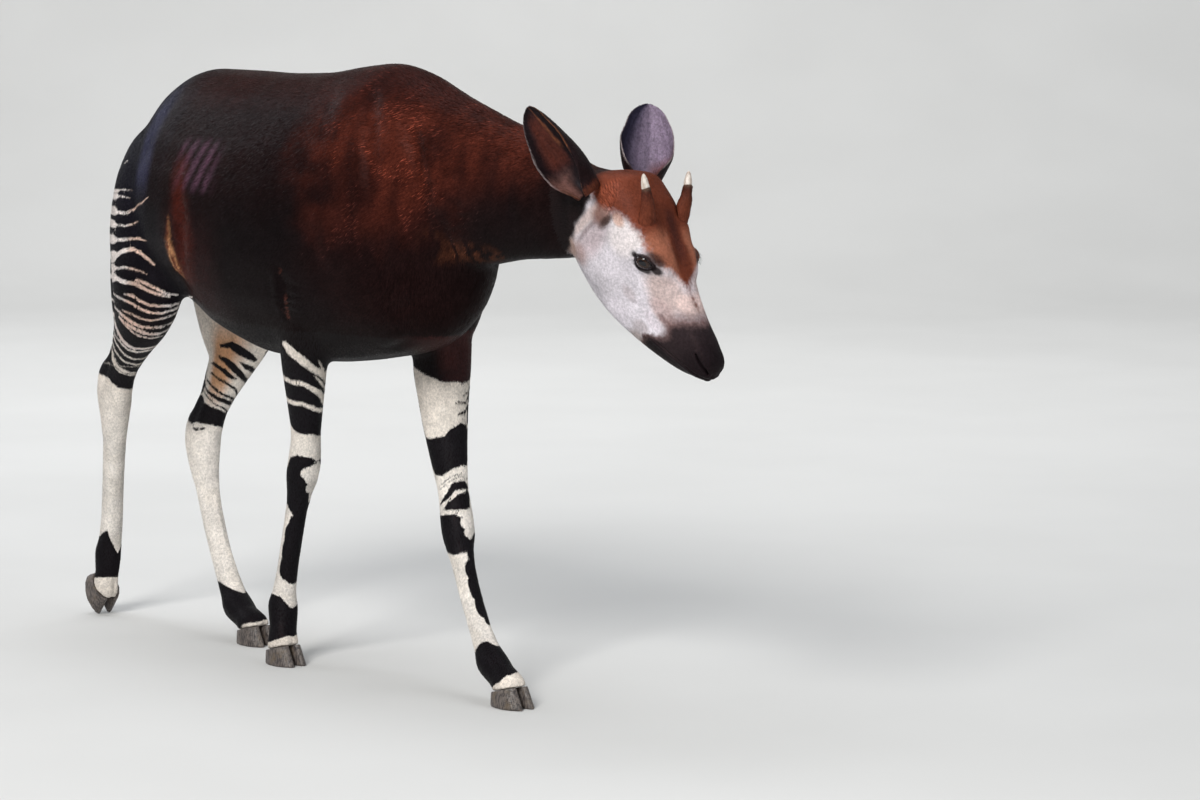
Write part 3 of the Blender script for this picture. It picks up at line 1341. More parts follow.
HEAD_CREASES = (
    Crease(((.322, -.067, -.063), (.340, -.064, -.050), (.362, -.058, -.027), (.382, -.050, -.018)), .0055, .0024),
    Crease(((.345, -.060, .020), (.390, -.050, .008), (.430, -.047, -.002)), .010, .0016),
    Crease(((.300, -.066, -.010), (.330, -.062, -.012), (.365, -.055, -.012)), .009, -.0022),
    Crease(((.235, -.093, .052), (.262, -.095, .062), (.288, -.088, .058)), .0040, .0016, .0010),
    Crease(((.246, -.092, -.010), (.276, -.090, -.020), (.305, -.078, -.012)), .0050, .0014, .0008),
    Crease(((.150, -.075, .010), (.165, -.085, -.020), (.170, -.088, -.055)), .012, .0030),
    Crease(((.395, -.055, -.080), (.380, -.055, -.090)), .005, .0020),
)


@dataclass
class Skin:
    """The okapi's whole skin: trunk, neck, head, legs and the stem of the tail in one surface."""

    voxel: float = 0.0043
    rounds: int = 150
    coat_depth: float = 0.0016
    body_ratio: float = 0.078
    haunch_ratio: float = 0.32
    leg_ratio: float = 0.275
    tail_path: tuple[Row, ...] = ((-0.600, 0.0, 1.300), (-0.640, 0.0, 1.280), (-0.680, 0.0, 1.235),
                                  (-0.704, 0.0, 1.180), (-0.715, 0.0, 1.120), (-0.722, 0.0, 1.060),
                                  (-0.723, 0.0, 1.010), (-0.722, 0.0, 0.985))
    tail_radii: Row = (0.030, 0.029, 0.023, 0.020, 0.0175, 0.0155, 0.013, 0.009)
    socket: float = 0.0262
    lid_margin: float = 0.0022
    mouth_corner: Row = (0.412, -0.080)
    mouth_front: Row = (0.553, -0.031)
    nostril: tuple[Row, ...] = ((.508, .0405, -.0015), (.522, .0385, -.0045), (.537, .0345, -.0065),
                                (.548, .0285, -.0085), (.555, .0200, -.0140))
    item: bpy.types.Object | None = field(default=None, init=False)

    def flesh(self) -> bpy.types.Object:
        """One closed surface round the copied solids.

        Returns:
            The surface, as the remesher leaves it.
        """
        item = copy_of_nodes("skin", FLESH)
        parts = [tube("tail_stem", np.array(self.tail_path) + SHIFT, self.tail_radii, 16)]
        for side in Side:
            centre = Vector(ANATOMY.eye_centre(side) + SHIFT)
            bpy.ops.mesh.primitive_uv_sphere_add(segments=32, ring_count=16, radius=self.socket, location=centre)
            parts.append(bpy.context.active_object)
        for part in parts:
            only(part)
            bpy.ops.object.transform_apply(location=True, rotation=True, scale=True)
        only(item, *parts)
        bpy.ops.object.join()
        shaped(item, "REMESH", mode="VOXEL", voxel_size=self.voxel, use_smooth_shade=True)
        return item

    def smooth_out(self, item: bpy.types.Object) -> None:
        """Take the solids' facets and the voxels' steps out, most on the trunk and least on the face."""
        places = places_of(item.data) - SHIFT
        on_head = ease(ANATOMY.beyond_collar(places), -0.03, 0.04)
        weight = 1.0 - 0.90 * on_head
        weight = np.minimum(weight, 0.12 + 0.88 * ease(places[:, 2], 0.74, 0.92))
        tail = ease(places[:, 0], -0.655, -0.675) * ease(places[:, 2], 0.9, 1.0)
        weight = np.minimum(weight, 1.0 - 0.9 * tail)
        weigh(item, "smoothing", weight)
        shaped(item, "SMOOTH", factor=0.5, iterations=self.rounds, vertex_group="smoothing")
        item.vertex_groups.clear()
        inward = self.coat_depth * (1.0 - 0.55 * on_head)
        inward *= 0.35 + 0.65 * ease(places[:, 2], 0.74, 0.92)
        move_to(item.data, places_of(item.data) - normals_of(item.data) * inward[:, None])

    def regrid(self, item: bpy.types.Object) -> None:
        """Make the faces larger on the trunk and finer on the face, the lids and the nostrils."""
        with editing(item):
            bpy.ops.mesh.quads_convert_to_tris()
        for ratio, striped in ((self.body_ratio, False), (self.haunch_ratio, True)):
            places = self.face_centres(item) - SHIFT
            trunk = (ANATOMY.beyond_collar(places) < -0.02) & (places[:, 2] > 0.84)
            haunch = (places[:, 0] < -0.30) & (places[:, 2] < 1.20)
            self.choose(item, trunk & (haunch == striped))
            bpy.ops.mesh.decimate(ratio=ratio)
            bpy.ops.object.mode_set(mode="OBJECT")
        places = self.face_centres(item) - SHIFT
        self.choose(item, (places[:, 2] < 0.83) & (ANATOMY.beyond_collar(places) < -0.02))
        bpy.ops.mesh.decimate(ratio=self.leg_ratio)
        bpy.ops.object.mode_set(mode="OBJECT")
        for reach in (0.045, 0.034):
            self.choose(item, self.fine_faces(item, reach))
            bpy.ops.mesh.subdivide(number_cuts=1, smoothness=0.0)
            bpy.ops.mesh.select_all(action="SELECT")
            bpy.ops.mesh.quads_convert_to_tris()
            bpy.ops.object.mode_set(mode="OBJECT")

    @staticmethod
    def face_centres(item: bpy.types.Object) -> Points:
        """The middles of an object's faces."""
        flat = np.empty(len(item.data.polygons) * 3)
        item.data.polygons.foreach_get("center", flat)
        return flat.reshape(-1, 3)

    def fine_faces(self, item: bpy.types.Object, reach: float) -> Points:
        """Which faces lie near an eye, a nostril or the mouth."""
        places = self.face_centres(item) - SHIFT
        near = np.zeros(len(places), bool)
        for side in Side:
            near |= np.linalg.norm(places - ANATOMY.eye_centre(side), axis=1) < reach * 0.8
        head = ANATOMY.on_head(places)
        u, w, v = head.T
        gap, _ = to_polyline(folded(head), self.nostril)
        near |= gap < reach * 0.42
        near |= (np.abs(v - self.mouth_height(u)) < reach * 0.22) & (u > 0.385)
        return near & (ANATOMY.beyond_collar(places) > 0.0) & (u < 0.6) & (np.abs(w) < 0.13)

    @staticmethod
    def choose(item: bpy.types.Object, faces: Points) -> None:
        """Enter edit mode with these faces alone selected."""
        only(item)
        bpy.ops.object.mode_set(mode="EDIT")
        bpy.ops.mesh.select_all(action="DESELECT")
        bpy.ops.mesh.select_mode(type="FACE")
        bpy.ops.object.mode_set(mode="OBJECT")
        item.data.polygons.foreach_set("select", faces)
        bpy.ops.object.mode_set(mode="EDIT")

    def mouth_height(self, along: Points) -> Points:
        """How high the line of the mouth lies at places along the head."""
        (first, low), (last, high) = self.mouth_corner, self.mouth_front
        return low + (high - low) * (along - first) / (last - first)

    def open_lids(self, points: Points) -> Points:
        """Shape the lids round both eyeballs.

        Args:
            points: The skin's places in the animal's frame.

        Returns:
            The new places.
        """
        radius = ANATOMY.eye_radius
        for side in Side:
            centre, axes = ANATOMY.eye_centre(side), ANATOMY.eye_axes(side)
            eye = (points - centre) @ axes
            far = np.linalg.norm(eye, axis=1)
            near = (far < 0.048) & (eye[:, 2] > 0.002)
            gap = almond_gap(eye[near])
            own = far[near]
            upper = eye[near][:, 1] > 0.0
            lid = radius + self.lid_margin + np.clip(gap, 0.0, 0.02) * 0.12
            fold = hump(gap, 0.0065, 0.0016) * np.where(upper, 0.0013, 0.0007)
            bag = hump(gap, 0.0120, 0.0024) * np.where(upper, 0.0010, 0.0009)
            target = lid + (own - lid) * ease(gap, 0.004, 0.017) - fold - bag
            inner = radius - 0.0035
            target = inner + (target - inner) * ease(gap, -0.0016, 0.0002)
            eye[near] *= (target / np.maximum(own, 1e-6))[:, None]
            points = np.where(near[:, None], eye @ axes.T + centre, points)
        return points

    def sculpt(self, item: bpy.types.Object) -> None:
        """Press the folds, the mouth, the nostrils and the tendons into the skin and open its lids."""
        points = places_of(item.data) - SHIFT
        normals = normals_of(item.data)
        press = np.zeros(len(points))
        for crease in BODY_CREASES:
            press += crease.press(points)
            press += 0.8 * crease.press(points * np.array([1.0, -1.0, 1.0]) + np.array([0.012, 0.0, 0.004]))
        press += self.tendons(points)
        press += grain(points, 0.06, 31) * 0.0010 * ease(points[:, 2], 0.8, 0.95)
        head = ANATOMY.on_head(points)
        mirrored = folded(head) * np.array([1.0, -1.0, 1.0])
        on_head = ease(ANATOMY.beyond_collar(points), -0.01, 0.02)
        for crease in HEAD_CREASES:
            press += crease.press(mirrored) * on_head
        press += self.lips(head) * on_head
        points = points - normals * press[:, None]
        gap, along = to_polyline(folded(head), self.nostril)
        wide = 0.0034 * np.sin(np.pi * np.clip(0.15 + 0.7 * along, 0, 1))
        hole = 0.0088 * np.exp(-((gap / (wide + 1e-4)) ** 4)) * on_head
        rim = 0.0018 * hump(gap, 0.0062, 0.0030) * on_head
        inwards = ANATOMY.head_axes() @ np.array([-0.55, 0.0, -0.10])
        across = ANATOMY.head_axes()[:, 1]
        inward = inwards[None] - across[None] * np.sign(head[:, 1])[:, None] * 0.8
        points = points + inward * hole[:, None] + normals * rim[:, None]
        corner = np.linalg.norm((points - np.array([-0.262, -0.190, 0.925])) / np.array([0.050, 0.060, 0.045]), axis=1)
        points[:, 2] += 0.026 * np.exp(-(corner**2))
        points = self.horn_mounds(points)
        points = self.open_lids(points)
        move_to(item.data, points + SHIFT)

    @staticmethod
    def horn_mounds(points: Points) -> Points:
        """Raise a smooth cone of skin round the root of each horn.

        Args:
            points: The skin's places in the animal's frame.

        Returns:
            The new places.
        """
        for side in Side:
            root, tip = horn_axis(side)
            run = unit(tip - root)
            beside = points - root
            along = beside @ run
            radius = np.linalg.norm(beside - along[:, None] * run, axis=1)
            near = np.exp(-((radius / 0.031) ** 4)) * ease(along, -0.080, -0.055)
            rise = near * np.clip(0.008 - along, 0.0, 0.060)
            points = points + run * rise[:, None]
        return points

    def lips(self, head: Points) -> Points:
        """How far the skin goes in along the mouth.

        Args:
            head: The skin's places on the head.

        Returns:
            Metres inwards, below zero where the lips swell.
        """
        u, _, v = head.T
        above = v - self.mouth_height(u)
        share = ease(u, self.mouth_corner[0] - 0.006, self.mouth_corner[0] + 0.012)
        groove = 0.0030 * hump(above, 0.0, 0.0018)
        swell = 0.0014 * hump(above, 0.007, 0.004)
        swell += 0.0012 * hump(above, -0.006, 0.0035)
        return (groove - swell) * share

    def tendons(self, points: Points) -> Points:
        """How far the skin goes in beside the tendons, at the hocks and between the claws."""
        press = np.zeros(len(points))
        owner = nearest_leg(points)
        for number, leg in enumerate(LEG_MAPS):
            own = owner == number
            angle, height, _ = leg.around(points[own])
            joints = np.array(leg.joints)
            cannon = (height - joints[2, 2]) / (joints[3, 2] - joints[2, 2])
            bell = ease(cannon, 0.10, 0.25) * ease(cannon, 0.95, 0.75)
            value = np.zeros(own.sum())
            for beside in (128.0, 232.0):
                value += 0.0022 * hump(angle, beside, 16.0) * bell
            value -= 0.0012 * hump(angle, 180.0, 22.0) * bell
            if leg.name.startswith("hind"):
                above = (height - joints[3, 2]) / 0.20
                hollow = ease(above, 0.05, 0.3) * ease(above, 1.0, 0.6)
                for beside in (140.0, 220.0):
                    value += 0.0045 * hump(angle, beside, 18.0) * hollow
            across = points[own][:, 1] - np.interp(height, joints[:, 2], joints[:, 1])
            low = joints[1, 2]
            cleft = ease(height, low + 0.040, low + 0.004)
            value += 0.0045 * hump(across, 0.0, 0.0038) * cleft
            press[own] += value
        return press

    def build(self) -> bpy.types.Object:
        """Make the skin.

        Returns:
            The finished skin, marked and unwrapped.
        """
        item = self.flesh()
        LOG.info("skin remeshed: %d faces", len(item.data.polygons))
        self.smooth_out(item)
        self.regrid(item)
        self.sculpt(item)
        item.data.shade_smooth()
        dark, light, edge = MARKINGS.paint(places_of(item.data))
        places = places_of(item.data) - SHIFT
        pale = np.maximum(ease(places[:, 2], 0.84, 0.74), ease(ANATOMY.beyond_collar(places), -0.02, 0.04))
        write_coat(item.data, dark, 0.9 + 0.12 * pale, light, edge)
        unfold(item, 0.001)
        item.data.uv_layers[0].name = "OFBake"
        item.data.materials.append(material_of(GLOSSY_COAT))
        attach(item, BODY)
        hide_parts(*FLESH)
        self.item = item
        return item


def horn_axis(side: Side) -> tuple[Points, Points]:
    """A horn's root and its tip, in the animal's frame."""
    return ANATOMY.from_head(0.205, 0.056 * side.value, 0.070), ANATOMY.from_head(0.122, 0.080 * side.value, 0.150)


@dataclass
class Roots:
    """Where tufts stand on a surface: their places, normals, places on its unwrap, and its triangles."""

    places: Points
    normals: Points
    unwrap: Points
    triangles: Points

    def some(self, keep: Points) -> "Roots":
        """The roots that are kept."""
        return Roots(self.places[keep], self.normals[keep], self.unwrap[keep], self.triangles[keep])


@dataclass(frozen=True)
class Strand:
    """The sizes of the tufts at each root, in metres: how long, how wide, and how far the tips stand off."""

    length: Points
    width: Points
    lift: Points


class Pelt:
    """A surface that hair is laid on as thin, overlapping, tapered strips."""

    def __init__(self, item: bpy.types.Object) -> None:
        """Read the surface.

        Args:
            item: The object that carries the hair.
        """
        mesh = item.data
        mesh.calc_loop_triangles()
        count = len(mesh.loop_triangles)
        self.points = places_of(mesh)
        self.normals = normals_of(mesh)
        self.corners = np.empty(count * 3, np.int32)
        mesh.loop_triangles.foreach_get("vertices", self.corners)
        self.corners = self.corners.reshape(-1, 3)
        loops = np.empty(count * 3, np.int32)
        mesh.loop_triangles.foreach_get("loops", loops)
        unwrap = np.zeros(len(mesh.loops) * 2, np.float32)
        if mesh.uv_layers:
            mesh.uv_layers[0].uv.foreach_get("vector", unwrap)
        self.unwrap = unwrap.reshape(-1, 2)[loops].reshape(-1, 3, 2)
        first, second, third = (self.points[self.corners[:, corner]] for corner in range(3))
        self.areas = np.linalg.norm(np.cross(second - first, third - first), axis=1) / 2.0
        self.centres = (first + second + third) / 3.0
        self.tree = BVHTree.FromPolygons(self.points.tolist(), self.corners.tolist())

    def sow(self, density: Points, seed: int) -> Roots:
        """Spread roots over the surface.

        Args:
            density: How many a square metre each triangle has.
            seed: Which random draw.

        Returns:
            The roots.
        """
        draw = np.random.default_rng(seed)
        number = np.floor(density * self.areas + draw.random(len(self.areas))).astype(int)
        owner = np.repeat(np.arange(len(number)), number)
        first, second = draw.random(len(owner)), draw.random(len(owner))
        over = first + second > 1.0
        first, second = np.where(over, 1.0 - first, first), np.where(over, 1.0 - second, second)
        share = np.stack([1.0 - first - second, first, second], axis=1)
        corners = self.corners[owner]
        places = (self.points[corners] * share[:, :, None]).sum(axis=1)
        normals = unit((self.normals[corners] * share[:, :, None]).sum(axis=1))
        unwrap = (self.unwrap[owner] * share[:, :, None]).sum(axis=1)
        return Roots(places, normals, unwrap, owner)

    def lay(self, name: str, roots: Roots, flow: Points, strand: Strand, seed: int) -> bpy.types.Object:
        """Lay a tuft at each root.

        Args:
            name: The new object's name.
            roots: Where the tufts stand.
            flow: Which way each one lies.
            strand: The tufts' sizes.
            seed: Which random draw.

        Returns:
            The tufts as one object, with a patch of the unwrap for each.
        """
        draw = np.random.default_rng(seed)
        count = len(roots.places)
        flow = flow - roots.normals * (flow * roots.normals).sum(axis=1, keepdims=True)
        flow = unit(flow)
        aside = np.cross(roots.normals, flow)
        swing = draw.normal(0.0, 0.13, count) + grain(roots.places, 0.04, 41) * 0.16
        flow = unit(flow * np.cos(swing)[:, None] + aside * np.sin(swing)[:, None])
        aside = np.cross(roots.normals, flow)
        stretch = draw.uniform(0.78, 1.22, count)[:, None]
        length = strand.length[:, None] * stretch
        reach = roots.places + flow * length
        lowest = np.empty_like(reach)
        ahead = np.empty_like(reach)
        find = self.tree.find_nearest
        for row, place in enumerate(reach):
            hit, normal, _, _ = find(place)
            lowest[row] = hit
            ahead[row] = normal
        lift = strand.lift[:, None] * draw.uniform(0.65, 1.0, count)[:, None]
        tip = lowest + ahead * lift
        bulge = ((ahead - roots.normals) * (lowest - roots.places)).sum(axis=1, keepdims=True) / 8.0
        middle_normal = unit(ahead + roots.normals)
        middle = (roots.places + lowest) / 2.0 + middle_normal * (bulge + lift * 0.75 + 0.0002)
        half = aside * (strand.width[:, None] * draw.uniform(0.75, 1.2, count)[:, None] / 2.0)
        roll = roots.normals * (draw.normal(0.0, 0.06, count)[:, None] * strand.width[:, None])
        root = roots.places - roots.normals * 0.0003
        spots = np.stack([root - half * 0.8, root + half * 0.8, middle + half + roll, middle - half - roll, tip],
                         axis=1)
        corner = np.arange(count)[:, None] * TUFT_POINTS
        faces = np.concatenate([corner + np.array([0, 1, 2]), corner + np.array([0, 2, 3]),
                                corner + np.array([3, 2, 4])], axis=1).reshape(-1, 3)
        item = mesh_object(name, spots.reshape(-1, 3), faces)
        patch = np.array([[-1, -1], [1, -1], [1, 0], [-1, 0], [0, 1]]) * 0.0015
        spread = (roots.unwrap[:, None, :] + patch[None]).clip(0.0, 1.0).reshape(-1, 2)
        layer = item.data.uv_layers.new(name="OFBake")
        layer.uv.foreach_set("vector", spread[faces.ravel()].astype(np.float32).ravel())
        item.data.shade_smooth()
        return item


class CoatPiece(Enum):
    """The pieces the coat is laid in."""

    FLANK_RIGHT = "coat_flank_right"
    FLANK_LEFT = "coat_flank_left"
    SHOULDER_RIGHT = "coat_shoulder_right"
    SHOULDER_LEFT = "coat_shoulder_left"
    HAUNCH_RIGHT = "coat_haunch_right"
    HAUNCH_LEFT = "coat_haunch_left"
    FORE_RIGHT = "coat_fore_right"
    FORE_LEFT = "coat_fore_left"
    HIND_RIGHT = "coat_hind_right"
    HIND_LEFT = "coat_hind_left"
    FACE_RIGHT = "coat_face_right"
    FACE_LEFT = "coat_face_left"


@dataclass
class Coat:
    """The okapi's short hair, laid over its skin in several pieces."""

    skin: Skin
    body_density: float = 80000.0
    leg_density: float = 150000.0
    face_density: float = 250000.0

    def flow(self, places: Points) -> Points:
        """Which way the hair lies.

        Args:
            places: One place a row, in the animal's frame.

        Returns:
            One direction a row, not yet laid on the skin.
        """
        x, _, z = places.T
        flow = mix((-0.86, 0.0, -0.50), (-0.30, 0.0, -0.95), ease(x, -0.25, -0.50))
        flow = mix(flow, (-0.99, 0.0, -0.10), ease(z, 1.38, 1.46))
        flow = mix(flow, (-0.2, 0.0, -0.98), ease(x, 0.45, 0.62) * ease(z, 1.15, 1.0))
        flow = mix(flow, (-0.12, 0.0, -0.99), ease(z, 0.92, 0.80))
        forward, left, up = ANATOMY.head_axes().T
        _, w, v = ANATOMY.on_head(places).T
        face = -forward - up * (0.35 * ease(v, 0.03, -0.06))[:, None] + left * (np.sign(w) * 0.25)[:, None]
        return mix(flow, face, ease(ANATOMY.beyond_collar(places), -0.02, 0.07))

    def owners(self, places: Points) -> Points:
        """The number of the coat piece each place belongs to."""
        x, y, z = places.T
        left = (y > 0.0).astype(int)
        owner = np.where(x > 0.28, 2 + left, left)
        owner = np.where(x < -0.28, 4 + left, owner)
        leg = nearest_leg(places)
        owner = np.where(leg >= 0, 6 + leg, owner)
        across = ANATOMY.on_head(places)[:, 1]
        return np.where(ANATOMY.beyond_collar(places) > 0.0, 10 + (across > 0.0), owner)

    def bare(self, places: Points) -> Points:
        """Which places have no hair: between the lids, in the nostrils, in the mouth and under the claws."""
        head = ANATOMY.on_head(places)
        bald = np.zeros(len(places), bool)
        for side in Side:
            eye = (places - ANATOMY.eye_centre(side)) @ ANATOMY.eye_axes(side)
            near = (np.linalg.norm(eye, axis=1) < 0.034) & (eye[:, 2] > 0.0)
            bald |= near & (almond_gap(eye) < 0.0016)
        gap, _ = to_polyline(folded(head), self.skin.nostril)
        bald |= gap < 0.0048
        bald |= (np.abs(head[:, 2] - self.skin.mouth_height(head[:, 0])) < 0.0012) & (head[:, 0] > 0.41)
        owner = nearest_leg(places)
        for number, leg in enumerate(LEG_MAPS):
            bald |= (owner == number) & (places[:, 2] < leg.joints[1][2] - 0.018)
        return bald

    def sizes(self, places: Points) -> Strand:
        """The tufts' sizes: smallest on the face and the feet.

        Args:
            places: One place a row, in the animal's frame.

        Returns:
            The sizes.
        """
        x, _, z = places.T
        u, _, v = ANATOMY.on_head(places).T
        length = np.interp(z, (0.05, 0.30, 0.75, 0.95, 1.3), (0.0060, 0.0080, 0.0090, 0.0170, 0.0185))
        width = np.interp(z, (0.05, 0.30, 0.75, 0.95, 1.3), (0.0013, 0.0016, 0.0018, 0.0020, 0.0020))
        lift = np.interp(z, (0.05, 0.30, 0.75, 0.95), (0.0007, 0.0008, 0.0009, 0.0010))
        throat = ease(x, 0.40, 0.50) * ease(z - 0.22 * (x - 0.62), 1.08, 1.00) * ease(z, 0.84, 0.9)
        length = length + throat * 0.010
        lift = lift + throat * 0.002
        crest = ease(x, 0.40, 0.55) * ease(z + 0.42 * (x - 0.55), 1.40, 1.46)
        length = length + crest * 0.004
        lift = lift + crest * 0.002
        striped = ease(x, -0.28, -0.36) * ease(z, 0.7, 0.8) * ease(z, 1.34, 1.26)
        length = length + (0.0070 - length) * striped
        width = width + (0.0016 - width) * striped
        face = ease(ANATOMY.beyond_collar(places), -0.02, 0.05)
        small = np.interp(u, (0.0, 0.12, 0.25, 0.42, 0.52), (0.0105, 0.0080, 0.0056, 0.0042, 0.0028))
        length = length + (small - length) * face
        width = width + (np.interp(u, (0.1, 0.45), (0.00125, 0.00085)) - width) * face
        lift = lift + (np.interp(u, (0.0, 0.3, 0.5), (0.0011, 0.0006, 0.0004)) - lift) * face
        fan = ear_fan(places)
        length = length + fan * 0.008
        width = width + fan * 0.0004
        lift = np.minimum(lift + fan * 0.0022, 0.0035)
        return Strand(length, width, lift)

    def build(self) -> list[bpy.types.Object]:
        """Lay the whole coat.

        Returns:
            Its pieces.
        """
        pelt = Pelt(self.skin.item)
        centres = pelt.centres - SHIFT
        density = np.full(len(centres), self.body_density)
        low = ease(centres[:, 2], 0.84, 0.74)
        density = density + (self.leg_density - density) * low
        stripes = ease(centres[:, 0], -0.28, -0.36) * ease(centres[:, 2], 0.8, 0.9)
        density = density * (1.0 + 0.75 * stripes)
        on_head = ease(ANATOMY.beyond_collar(centres), -0.02, 0.04)
        density = density + (self.face_density - density) * on_head
        roots = pelt.sow(density, SEED)
        roots = roots.some(~self.bare(roots.places - SHIFT))
        places = roots.places - SHIFT
        owner = self.owners(places)
        flow = self.flow(places)
        sizes = self.sizes(places)
        pieces = []
        for number, kind in enumerate(CoatPiece):
            own = owner == number
            strand = Strand(sizes.length[own], sizes.width[own], sizes.lift[own])
            piece = pelt.lay(kind.value, roots.some(own), flow[own], strand, SEED + 1 + number)
            self.dress(piece, kind, number)
            pieces.append(piece)
            LOG.info("%s: %d tufts", kind.value, own.sum())
        return pieces

    def dress(self, piece: bpy.types.Object, kind: CoatPiece, number: int) -> None:
        """Mark, colour and place one piece of the coat.

        Args:
            piece: The tufts.
            kind: Which piece it is.
            number: Which random draw.
        """
        draw = np.random.default_rng(SEED + 100 + number)
        corners = places_of(piece.data).reshape(-1, TUFT_POINTS, 3)
        places = corners[:, 2:].mean(axis=1)
        dark, light, edge = MARKINGS.paint(places)
        animal = places - SHIFT
        uneven = 0.14 if kind.value.startswith(("coat_face", "coat_fore", "coat_hind")) else 0.26
        shade = draw.uniform(1.0 - uneven, 1.0 + uneven, len(places))
        shade = shade * (1.0 + 0.75 * uneven * grain(animal, 0.018, 51))
        x, _, z = animal.T
        shoulder = ease(x, 0.25, 0.45) * ease(x, 0.85, 0.60) * ease(z, 0.98, 1.12)
        speckle = ease(grain(animal, 0.05, 52), -0.1, 0.5)
        shade = np.where(draw.random(len(places)) < 0.13 * shoulder * speckle, shade * 3.2, shade)
        fan = ear_fan(animal)
        clumps = grain(animal, 0.006, 53)
        waves = np.sin(ear_distance(animal) * 2 * math.pi / 0.0065 + clumps * 2.0)
        shade = shade * (1.0 + fan * (0.35 + 0.75 * waves))
        along = np.tile(np.array([0.80, 0.80, 1.0, 1.0, 1.15]), len(places))
        write_coat(piece.data, per_tuft(dark), per_tuft(shade) * along, per_tuft(light), per_tuft(edge))
        if kind.value.startswith("coat_face"):
            finish, slot = FACE_COAT, "coat_face"
        elif kind.value.startswith(("coat_fore", "coat_hind")):
            finish, slot = PALE_COAT, "coat_striped"
        elif kind.value.startswith("coat_haunch"):
            finish, slot = HAUNCH_COAT, "coat_striped"
        else:
            finish, slot = GLOSSY_COAT, "coat_dark"
        piece.data.materials.append(material_of(finish))
        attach(piece, BODY)


def ear_distance(points: Points) -> Points:
    """How far points lie from the nearer ear's root."""
    return np.stack([np.linalg.norm(points - ANATOMY.from_head(0.075, 0.094 * side.value, 0.010), axis=1)
                     for side in Side]).min(axis=0)


def ear_fan(points: Points) -> Points:
    """Where the long hair fans out in front of an ear's root, from 0 to 1."""
    ear = ear_distance(points)
    u, _, v = ANATOMY.on_head(points).T
    return (ease(ear, 0.080, 0.055) * ease(ear, 0.016, 0.028) * ease(v, 0.008, 0.024)
            * ease(u, 0.070, 0.085))


